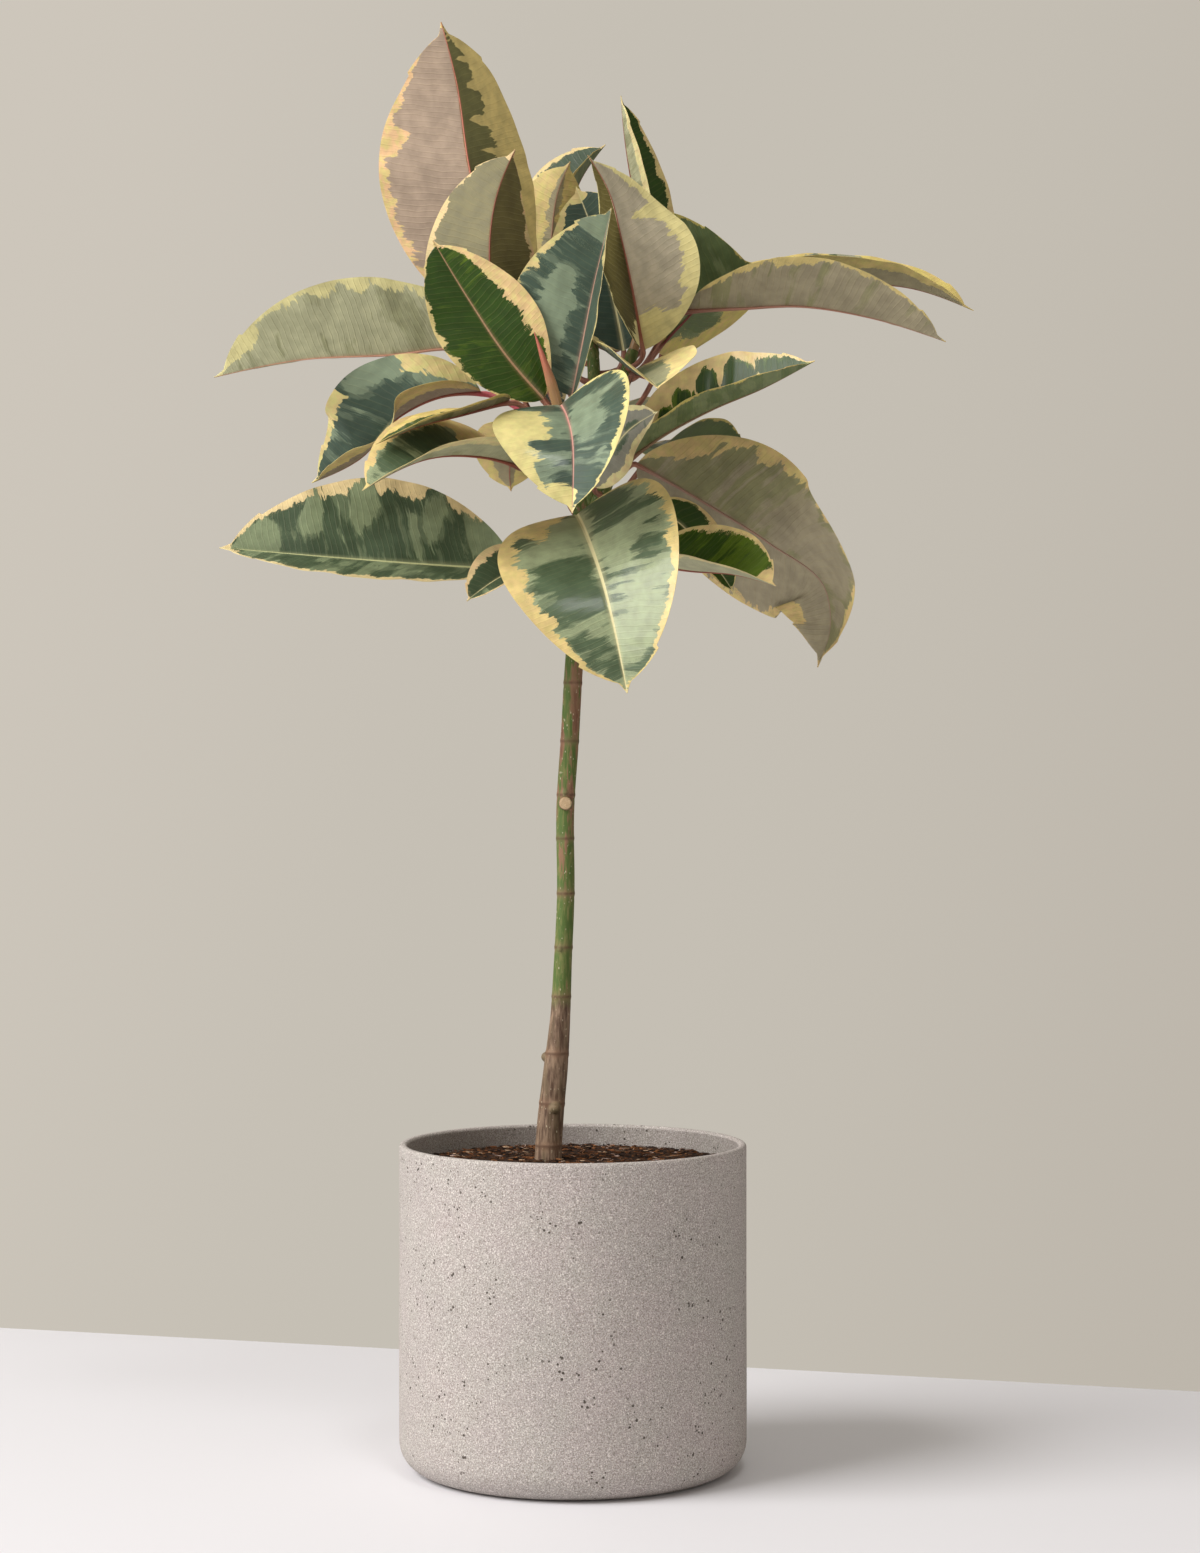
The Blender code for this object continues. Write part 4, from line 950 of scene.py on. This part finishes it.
def bark_knots(trunk):
    """Middle and radius of each swollen place of the bark."""
    for share, turn, size, out in BARK_KNOTS:
        aside = np.array((cos(radians(turn)), sin(radians(turn)), 0))
        reach = TRUNK_RADIUS * trunk.value(share) * out
        yield trunk.at(share)[0] + aside * reach, TRUNK_RADIUS * size


def ring_mask(share, width):
    """1 on the trunk's leaf-scar rings, fading out over width in mm to each side."""
    mask = np.zeros(len(share))
    for ring in SCAR_RINGS:
        mask = np.maximum(mask, np.exp(-(((share - ring) * TRUNK_RISE / MM / width) ** 2)))
    mask[share > 1] = 0
    return mask


def build_trunk(stems):
    """The whole of the wood, grown together in one skin."""
    trunk = stems["trunk"]
    points, faces = [], []
    first = 0

    def take(new_points, rows, sides):
        nonlocal first
        points.append(new_points)
        faces.extend(tube_faces(rows, sides, first))
        first += len(new_points)

    take(ringed(trunk, TRUNK_RINGS, TRUNK_SIDES, SCAR_RINGS), TRUNK_RINGS, TRUNK_SIDES)
    branch_scars = np.arange(0.16, 1.0, 0.115)
    for branch in BRANCH_LINES:
        take(ringed(stems[branch], BRANCH_RINGS, BRANCH_SIDES, branch_scars),
             BRANCH_RINGS, BRANCH_SIDES)
    take(ball(trunk.at(1.0)[0], TRUNK_RADIUS * 1.06), BALL_RINGS, BALL_SIDES)
    for middle, radius in bark_knots(trunk):
        take(ball(middle, radius), BALL_RINGS, BALL_SIDES)
    foot = trunk.at(STUB_SHARE)[0]
    reach = TRUNK_RADIUS * STUB_REACH
    along = np.linspace(0, 1, STUB_RINGS)
    middles = foot + np.outer(along, (0, -reach, 0))
    radii = TRUNK_RADIUS * STUB_RADIUS * (1.18 - 0.2 * along)
    radii[-1] = TRUNK_RADIUS * STUB_RADIUS * 0.90
    take(tube_points(middles, radii, STUB_SIDES, np.array((0, 0, 1))), STUB_RINGS, STUB_SIDES)
    rough = add_mesh("trunk draft", np.concatenate(points), faces)
    join = rough.modifiers.new("Grow together", "REMESH")
    join.mode = "VOXEL"
    join.voxel_size = WOOD_VOXEL
    join.use_smooth_shade = True
    ease = rough.modifiers.new("Ease", "SMOOTH")
    ease.factor = 0.5
    ease.iterations = 2
    bpy.context.view_layer.update()
    grown = rough.evaluated_get(bpy.context.evaluated_depsgraph_get())
    mesh = bpy.data.meshes.new_from_object(grown)
    bpy.data.objects.remove(rough, do_unlink=True)
    mesh.name = "trunk"
    item = placed("wood", mesh)
    mesh.shade_smooth()
    place = np.empty(len(mesh.vertices) * 3)
    mesh.vertices.foreach_get("co", place)
    place = place.reshape(-1, 3)
    share = (place[:, 2] - TRUNK_FOOT_Z) / TRUNK_RISE
    aside = np.hypot(place[:, 0] - foot[0], place[:, 2] - foot[2])
    on_face = place[:, 1] < foot[1] - reach * 0.93
    cut = (aside < TRUNK_RADIUS * STUB_RADIUS * 0.92) & on_face
    knot = np.zeros(len(place))
    for middle, radius in bark_knots(trunk):
        knot = np.maximum(knot, 1 - np.linalg.norm(place - middle, axis=1) / (radius * 1.4))
    give_values(mesh, "scar", ring_mask(share, 1.1))
    give_values(mesh, "node band", ring_mask(share, 4.2))
    give_values(mesh, "cut", cut.astype(float))
    give_values(mesh, "knot", knot)
    give_values(mesh, "height", share)
    mesh.materials.append(bark_material())
    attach(item, "root")
    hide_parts("trunk")


def bark_material():
    """Grey-brown bark at the foot that turns to green skin with tan streaks and lenticels."""
    mat, tree, shader = new_material("bark", Specular_IOR_Level=0.3)
    place = object_place(tree)
    long = drawn_out(tree, place, 0.16)
    flat = drawn_out(tree, place, 2.6)
    streak = noise(tree, long, 420.0, 4.0, 0.6)
    patch = noise(tree, long, 125.0, 4.0)
    grain = noise(tree, flat, 900.0, 3.0, 0.6)
    height = attribute(tree, "height")
    wander = plus(tree, height, swing(tree, patch, 0.09))
    green = mix(tree, ramp(tree, streak, 0.42, 0.66), (82, 104, 48), (120, 122, 72))
    worn = plus(tree, patch, ramp(tree, height, 0.46, 0.52, -0.05, 0.08))
    worn = minus(tree, worn, ramp(tree, height, 0.93, 1.02, 0.0, 0.15))
    worn = plus(tree, worn, swing(tree, streak, 0.35))
    green = mix(tree, ramp(tree, worn, 0.54, 0.62, 0.0, 0.85), green, (142, 104, 82))
    green = mix(tree, ramp(tree, worn, 0.64, 0.72, 0.0, 0.7), green, (112, 74, 58))
    brown = mix(tree, ramp(tree, streak, 0.34, 0.66), (88, 66, 51), (152, 128, 106))
    brown = mix(tree, ramp(tree, patch, 0.50, 0.62, 0.0, 0.6), brown, (108, 92, 68))
    colour = mix(tree, ramp(tree, wander, 0.268, 0.298), brown, green)
    lenticels = cells(tree, drawn_out(tree, place, 0.45), 480.0)
    spot = ramp(tree, lenticels, 0.12, 0.26, 1.0, 0.0)
    spot = times(tree, spot, ramp(tree, noise(tree, place, 260.0, 1.0), 0.5, 0.6))
    colour = mix(tree, times(tree, spot, 0.85), colour, (214, 202, 172))
    band = times(tree, attribute(tree, "node band"), ramp(tree, patch, 0.35, 0.6, 0.35, 1.0))
    colour = mix(tree, times(tree, band, 0.6), colour, (146, 112, 88))
    ring = times(tree, attribute(tree, "scar"), ramp(tree, streak, 0.3, 0.6, 0.4, 1.0))
    colour = mix(tree, times(tree, ring, 0.75), colour, (86, 60, 46))
    colour = mix(tree, times(tree, attribute(tree, "knot"), 0.9), colour, (128, 128, 92))
    wood = mix(tree, ramp(tree, grain, 0.3, 0.7), (206, 182, 146), (176, 146, 110))
    colour = mix(tree, attribute(tree, "cut"), colour, wood)
    relief = total(tree, times(tree, streak, 0.8), (grain, 0.35), (spot, 0.6))
    dress(tree, shader, colour, ramp(tree, streak, 0.2, 0.8, 0.55, 0.8), relief, 0.7, 0.0009)
    return mat


# Branch, direction of the tip, and length as a share of SHEATH_LENGTH.
SHEATHS = {
    "sheath_left": ("left", (-0.30, -0.22, 0.93), 1.0),
    "sheath_right": ("right", (0.25, 0.30, 0.92), 0.5),
    "sheath_back": ("back", (0.12, 0.40, 0.91), 0.6),
}
SHEATH_LENGTH = 0.060
SHEATH_RINGS, SHEATH_SIDES = 60, 24


def sheath_material():
    """Papery bud sheath, tan at its foot and pink towards its point."""
    mat, tree, shader = new_material("bud sheath", Specular_IOR_Level=0.5)
    _, axes = blade_place(tree)
    drawn = vector(tree, times(tree, axes[0], 0.8), times(tree, axes[1], 12.0))
    streak = noise(tree, drawn, 3.0, 3.0)
    shade = plus(tree, axes[0], swing(tree, streak, 0.5))
    colour = mix(tree, ramp(tree, shade, 0.1, 0.75), (170, 134, 92), (186, 104, 86))
    colour = mix(tree, ramp(tree, streak, 0.55, 0.7, 0.0, 0.5), colour, (224, 170, 140))
    dress(tree, shader, colour, ramp(tree, streak, 0.2, 0.8, 0.35, 0.55), streak, 0.35, 0.0005)
    return mat


def build_sheath(name, stem, points_to, length_share, finish):
    """Slim pointed sheath that carries on from the end of a branch and bends to its aim."""
    base = stem.at(1.0)[0]
    lean = stem.direction(1.0)[0]
    aim = unit(points_to)
    length = SHEATH_LENGTH * length_share
    points = [base, base + (lean * 0.7 + aim * 0.3) * length * 0.3,
              base + (lean * 0.2 + aim * 0.8) * length * 0.65, base + aim * length]
    factor = stem.value(1.0) * TRUNK_RADIUS
    line = Line(points, [factor * 0.80, factor * 0.78, factor * 0.48, factor * 0.05])
    places = np.linspace(0, 1, SHEATH_RINGS)
    angles = turns(SHEATH_SIDES)
    up_the_sheath = places[:, None]
    oval = 0.05 * np.cos(angles * 2 + up_the_sheath * 5)
    seam = 0.09 * np.exp(-((angles - 2.4 - up_the_sheath * 1.4) / 0.35) ** 2)
    radii = line.value(places)[:, None] * (1 + oval + seam)
    points = tube_points(line.at(places), radii, SHEATH_SIDES, np.array((0.1, 1, 0)))
    item = add_mesh(name.replace("sheath", "bud_sheath"), points,
                    tube_faces(SHEATH_RINGS, SHEATH_SIDES))
    give_uv(item.data, "blade", np.column_stack([np.repeat(places, SHEATH_SIDES),
                                                 np.tile(angles / (2 * pi), SHEATH_RINGS)]))
    item.data.materials.append(finish)
    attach(item, "root")
    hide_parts(name)


# ---- planter --------------------------------------------------------------------------------

AXIS_GAP = 0.002           # radius of the small flat where a turned shape closes
PLANTER_STEPS = 192


def arc(middle_r, middle_z, radius, start, end, steps):
    """Points of a profile's round corner, from one angle to another in degrees."""
    angles = np.radians(np.linspace(start, end, steps + 1))
    return [(middle_r + radius * cos(a), middle_z + radius * sin(a)) for a in angles]


def run(start, end, steps):
    """Points between start and end of a profile's straight stretch."""
    return [tuple(np.array(start) + (np.array(end) - start) * i / steps) for i in range(1, steps)]


def turned(profile, steps):
    """Solid of revolution with its ends closed on the axis."""
    angles = turns(steps)
    radii, heights = np.array(profile).T
    rings = np.stack([np.outer(radii, np.cos(angles)), np.outer(radii, np.sin(angles)),
                      np.repeat(heights[:, None], steps, axis=1)], axis=2)
    faces = [tuple(reversed(face)) for face in strip_faces(len(profile), steps, closed=True)]
    faces.append(tuple(range(steps)))
    last = (len(profile) - 1) * steps
    faces.append(tuple(last + k for k in reversed(range(steps))))
    return rings, faces


def build_planter():
    """Thick-walled round planter with an eased lip and a rounded foot."""
    lip_z = POT_HEIGHT - POT_LIP_ROUND
    profile = [(AXIS_GAP, POT_FLOOR)]
    profile += arc(POT_INNER_RADIUS - POT_INSIDE_ROUND, POT_FLOOR + POT_INSIDE_ROUND,
                   POT_INSIDE_ROUND, -90, 0, 6)
    profile += run(profile[-1], (POT_INNER_RADIUS, lip_z), 12)
    profile += arc(POT_INNER_RADIUS + POT_LIP_ROUND, lip_z, POT_LIP_ROUND, 180, 90, 8)
    profile += arc(POT_RADIUS - POT_LIP_ROUND, lip_z, POT_LIP_ROUND, 90, 0, 8)
    profile += run(profile[-1], (POT_RADIUS, POT_BASE_ROUND), 20)
    profile += arc(POT_RADIUS - POT_BASE_ROUND, POT_BASE_ROUND, POT_BASE_ROUND, 0, -90, 18)
    profile.append((AXIS_GAP, 0.0))
    rings, faces = turned(profile, PLANTER_STEPS)
    angles = turns(PLANTER_STEPS)
    height = rings[..., 2]
    uneven = (np.sin(angles * 3 + 0.4) * 0.10 + np.sin(angles * 7 + height * 40) * 0.05
              + np.sin(angles * 2 + height * 23) * 0.12 - 0.30) * MM
    fade = np.clip(height / 0.02, 0, 1)
    radius = np.hypot(rings[..., 0], rings[..., 1])
    scale = 1 + np.where(radius > 0.05, uneven * fade, 0) / np.maximum(radius, 0.05)
    rings[..., :2] *= scale[..., None]
    item = add_mesh("cast_planter", rings.reshape(-1, 3), faces)
    # Mask of the inner wall, which the finish darkens as painted shade.
    inside = ((radius < POT_INNER_RADIUS + 1.2 * MM) & (height > POT_FLOOR - MM)
              & (height < lip_z + MM))
    give_values(item.data, "inside", inside.reshape(-1).astype(float))
    item.data.materials.append(concrete_material())
    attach(item, "root")
    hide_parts("planter")


def concrete_material():
    """Sandy cast concrete: fine grains, pinholes in clusters painted dark as the shade inside them,
    wide faint stains, and painted shade on the inner wall.
    """
    mat, tree, shader = new_material("cast concrete", Specular_IOR_Level=0.25)
    place = object_place(tree)
    stain = noise(tree, place, 9.0, 3.0, 0.55)
    blotch = noise(tree, place, 30.0, 4.0, 0.6)
    sand = noise(tree, place, 940.0, 2.0, 0.7)
    grit = noise(tree, place, 1500.0, 1.0)
    colour = mix(tree, ramp(tree, stain, 0.30, 0.72), (173, 166, 162), (180, 170, 167))
    colour = mix(tree, ramp(tree, blotch, 0.35, 0.7, 0.0, 0.5), colour, (174, 171, 163))
    colour = mix(tree, ramp(tree, sand, 0.34, 0.49, 0.66, 0.0), colour, (108, 99, 93))
    colour = mix(tree, ramp(tree, sand, 0.54, 0.66, 0.0, 0.75), colour, (236, 230, 224))
    colour = mix(tree, ramp(tree, grit, 0.60, 0.68, 0.0, 0.5), colour, (140, 122, 106))
    # Painted shade: the inner wall is darkened towards a grey-brown.
    inner_wall_shade = ramp(tree, attribute(tree, "inside"), 0.0, 1.0)
    colour = mix(tree, times(tree, inner_wall_shade, 0.3), colour, (98, 90, 82))
    # Pinholes in clusters; their dark colour is painted shade inside the holes.
    size = ramp(tree, noise(tree, place, 110.0, 1.0), 0.44, 0.70, 0.02, 0.30)
    where = ramp(tree, noise(tree, place, 15.0, 2.0), 0.45, 0.55)
    hole = times(tree, sums(tree, "LESS_THAN", cells(tree, place, 250.0), size), where)
    colour = mix(tree, times(tree, hole, 0.9), colour, (66, 58, 50))
    relief = total(tree, times(tree, sand, 0.5), (blotch, 0.5), (hole, -1.2))
    dress(tree, shader, colour, ramp(tree, sand, 0.3, 0.7, 0.92, 0.78), relief, 0.6, 0.0009)
    return mat


# ---- potting mix ----------------------------------------------------------------------------

SOIL_RINGS, SOIL_STEPS = 46, 120
SOIL_SIDE_GAP = 0.6 * MM
SOIL_SKIRT = 0.03                # how far the loose top reaches down
LITTER_COUNT = 2600
TRUNK_AT_SOIL = np.array((-0.0205, 0.0))
# Colours of the loose coir and bark, and the share of each.
LITTER_TONES = (
    ((46, 32, 24), 0.34), ((82, 54, 34), 0.24), ((114, 70, 40), 0.20), ((144, 94, 56), 0.14),
    ((182, 152, 124), 0.05), ((206, 178, 164), 0.03),
)
BIT_CORNERS = np.array(((-1, -0.6), (1, -0.8), (0.8, 0.9), (-0.9, 0.7)))


def soil_z(radius):
    """Height of the mounded mix at a distance from the planter's middle."""
    return SOIL_TOP_Z - SOIL_MOUND * (radius / POT_INNER_RADIUS) ** 2


def build_soil(finish):
    """Mounded mix with a lumpy top."""
    outer = POT_INNER_RADIUS - SOIL_SIDE_GAP
    radii = np.linspace(AXIS_GAP, outer, SOIL_RINGS)
    profile = [(radius, soil_z(radius)) for radius in radii]
    profile += [(radius, SOIL_TOP_Z - SOIL_SKIRT) for radius in (outer, AXIS_GAP)]
    rings, faces = turned(profile, SOIL_STEPS)
    angles = turns(SOIL_STEPS)
    x, y = radii[:, None] * np.cos(angles), radii[:, None] * np.sin(angles)
    lumps = np.zeros((SOIL_RINGS, SOIL_STEPS))
    for size, height in ((0.020, 1.0), (0.009, 0.7), (0.0045, 0.6)):
        for _ in range(3):
            turn, phase, other = random.uniform(0, 2 * pi, 3)
            sway = np.sin((x * sin(turn) - y * cos(turn)) * 2 * pi / size + other)
            lumps += height * np.sin((x * cos(turn) + y * sin(turn)) * 2 * pi / size
                                     + phase + sway)
    rings[:SOIL_RINGS, :, 2] += lumps * 0.00045 - 0.0022
    item = add_mesh("potting_mix", rings.reshape(-1, 3), faces)
    item.data.materials.append(finish)
    give_colours(item.data, "tone", np.tile(srgb(52, 36, 26), (len(item.data.vertices), 1)))
    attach(item, "root")
    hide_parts("soil")


def build_litter(finish):
    """Loose coir fibres and bark chips that lie on the potting mix."""
    points, faces, tones = [], [], []
    colours = np.array([srgb(*tone) for tone, _ in LITTER_TONES])
    odds = np.array([share for _, share in LITTER_TONES])
    spread = POT_INNER_RADIUS - SOIL_SIDE_GAP - 0.006
    first = 0
    for _ in range(LITTER_COUNT):
        radius = spread * np.sqrt(random.uniform())
        turn = random.uniform(0, 2 * pi)
        middle = np.array((radius * cos(turn), radius * sin(turn), 0.0))
        if np.linalg.norm(middle[:2] - TRUNK_AT_SOIL) < TRUNK_RADIUS * 1.55:
            continue
        fibre = random.uniform() < 0.42
        length = random.uniform(0.006, 0.014) if fibre else random.uniform(0.002, 0.0055)
        width = random.uniform(0.0003, 0.0006) if fibre else length * random.uniform(0.4, 0.8)
        depth = width * random.uniform(0.6, 1.0) if fibre else width * random.uniform(0.3, 0.6)
        middle[2] = soil_z(radius) - 0.0016 + random.uniform(0, 0.0014)
        heading = random.uniform(0, 2 * pi)
        tilt = random.uniform(-0.14, 0.14)
        along = np.array((cos(heading) * cos(tilt), sin(heading) * cos(tilt), sin(tilt)))
        side = unit(np.cross(along, (0, 0, 1)))
        top = np.cross(side, along)
        rows = 5 if fibre else 3
        bend = random.uniform(-0.3, 0.3) * length if fibre else 0.0
        u = np.linspace(-0.5, 0.5, rows)
        path = middle + np.outer(u * length, along) + np.outer((0.25 - u**2) * bend, side)
        swell = 1 - (np.abs(u) * 2) ** 3 * 0.55
        corners = BIT_CORNERS * random.uniform(0.8, 1.2, (4, 2))
        section = side * corners[:, :1] * width / 2 + top * corners[:, 1:] * depth / 2
        bit = (path[:, None] + section[None] * swell[:, None, None]).reshape(-1, 3)
        points.append(bit)
        faces += tube_faces(rows, len(BIT_CORNERS), first)
        first += len(bit)
        tone = colours[random.choice(len(LITTER_TONES), p=odds)] * random.uniform(0.75, 1.25)
        tones.append(np.tile(tone, (len(bit), 1)))
    litter = add_mesh("bark_litter", np.concatenate(points), faces, sharp=35)
    give_colours(litter.data, "tone", np.clip(np.concatenate(tones), 0, 1))
    litter.data.materials.append(finish)
    top = max(vertex.co.z for vertex in litter.data.vertices)
    if top > POT_HEIGHT:
        raise ValueError("litter stands above the lip")
    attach(litter, "root")


def soil_material():
    """Crumbly mix: each bit has its own tone, with painted shade in the gaps between crumbs and
    brown crumbs.
    """
    mat, tree, shader = new_material("potting mix", Specular_IOR_Level=0.2)
    place = object_place(tree)
    fine = noise(tree, place, 900.0, 4.0, 0.65)
    coarse = noise(tree, place, 210.0, 3.0)
    tone = attribute(tree, "tone", "Color")
    # Near-black flecks: painted shade in the gaps between crumbs.
    colour = mix(tree, ramp(tree, fine, 0.3, 0.55, 0.6, 0.0), tone, (26, 18, 14))
    colour = mix(tree, ramp(tree, coarse, 0.58, 0.70, 0.0, 0.5), colour, (104, 68, 42))
    dress(tree, shader, colour, ramp(tree, fine, 0.3, 0.7, 0.95, 0.8), plus(tree, fine, coarse),
          0.8, 0.001)
    return mat


# ---- studio ---------------------------------------------------------------------------------

TABLE_DEPTH = 3.4
TABLE_THICKNESS = 0.04


def build_studio():
    """Pale table whose far edge runs at a slight angle, a wall tone with painted light, lighter to
    the left and upwards, and light from the left.
    """
    left, right = np.array((-0.583, 0.635)), np.array((0.564, 0.307))
    edge = unit(right - left)
    far_left, far_right = left - edge * 2.6, right + edge * 2.2
    near = np.array((edge[1], -edge[0])) * TABLE_DEPTH
    corners = [far_left, far_right, far_right + near, far_left + near]
    points = [(x, y, z) for z in (0.0, -TABLE_THICKNESS) for x, y in corners]
    faces = [(3, 2, 1, 0), (4, 5, 6, 7), (0, 1, 5, 4), (1, 2, 6, 5), (2, 3, 7, 6), (3, 0, 4, 7)]
    table = add_mesh("table", points, faces, sharp=30)
    mat, _, _ = new_material("pale table", Specular_IOR_Level=0.3, Roughness=0.55,
                             Base_Color=(*srgb(228, 227, 231), 1))
    table.data.materials.append(mat)

    world = bpy.data.worlds.new("wall with painted light")
    bpy.context.scene.world = world
    world.use_nodes = True
    background = world.node_tree.nodes["Background"]
    tree = world.node_tree
    # Painted light on the backdrop: the wall tone grows lighter to the left and upwards and darker
    # to the right.
    around = node(tree, "ShaderNodeTexCoord").outputs["Generated"]
    aim = node(tree, "ShaderNodeSeparateXYZ", {0: around}).outputs
    side = total(tree, aim[0], (aim[2], -0.25))
    wall = mix(tree, ramp(tree, side, -0.24, -0.02), (205, 198, 187), (197, 191, 180))
    wall = mix(tree, ramp(tree, side, 0.02, 0.26), wall, (189, 182, 171))
    tree.links.new(wall, background.inputs["Color"])
    seen = node(tree, "ShaderNodeLightPath").outputs["Is Camera Ray"]
    tree.links.new(ramp(tree, seen, 0.0, 1.0, 0.66, 1.0), background.inputs["Strength"])

    def panel(name, place, target, size, power, colour):
        light = bpy.data.lights.new(name, "AREA")
        light.shape = "RECTANGLE"
        light.size, light.size_y = size
        light.energy = power
        light.color = colour
        item = placed(name, light)
        item.location = place
        aim_at = Vector(target) - Vector(place)
        item.rotation_euler = aim_at.to_track_quat("-Z", "Y").to_euler()

    panel("window", (-3.79, -1.78, 3.54), (0, 0, 0.6), (3.2, 3.2), 335, (1.0, 0.985, 0.975))
    panel("front fill", (0.7, -3.2, 1.2), (0, 0, 0.6), (2.0, 1.6), 6, (1.0, 0.99, 0.98))
    panel("gloss", (0.35, -1.2, 2.75), (-0.05, 0, 0.9), (0.40, 0.40), 9, (1.0, 1.0, 1.0))

    bpy.context.scene.view_settings.view_transform = "Standard"

    camera = bpy.data.cameras.new("camera")
    camera.sensor_fit = "VERTICAL"
    camera.sensor_height = 36.0
    camera.lens = 72.5
    camera.shift_y = 0.0007
    camera.dof.use_dof = False
    item = placed("camera", camera)
    item.location = (0.0218, -2.52, 0.555)
    item.rotation_euler = (pi / 2, 0, 0)
    bpy.context.scene.camera = item


# ---- the whole scene ------------------------------------------------------------------------

stems = stem_lines()
upper_finish, upper_tree, upper_shader = leaf_material(
    "leaf upper side", rib_share=0.9, vein_depth=0.35, vein_light=0.03, roughness=0.45,
    Specular_IOR_Level=0.25, Coat_Roughness=0.14)
upper_tree.links.new(attribute(upper_tree, "shine"), upper_shader.inputs["Coat Weight"])
under_finish, _, _ = leaf_material(
    "leaf underside", rib_share=0.45, vein_depth=0.5, vein_light=0.05, roughness=0.58,
    Specular_IOR_Level=0.35)
stalk_finish = petiole_material()
for number, (name, shape) in enumerate(LEAVES.items()):
    build_leaf(name, shape, stems, (upper_finish, under_finish, stalk_finish), number + 3)
build_trunk(stems)
bud_finish = sheath_material()
for name, (branch, points_to, length_share) in SHEATHS.items():
    build_sheath(name, stems[branch], points_to, length_share, bud_finish)
build_planter()
mix_finish = soil_material()
build_soil(mix_finish)
build_litter(mix_finish)
build_studio()
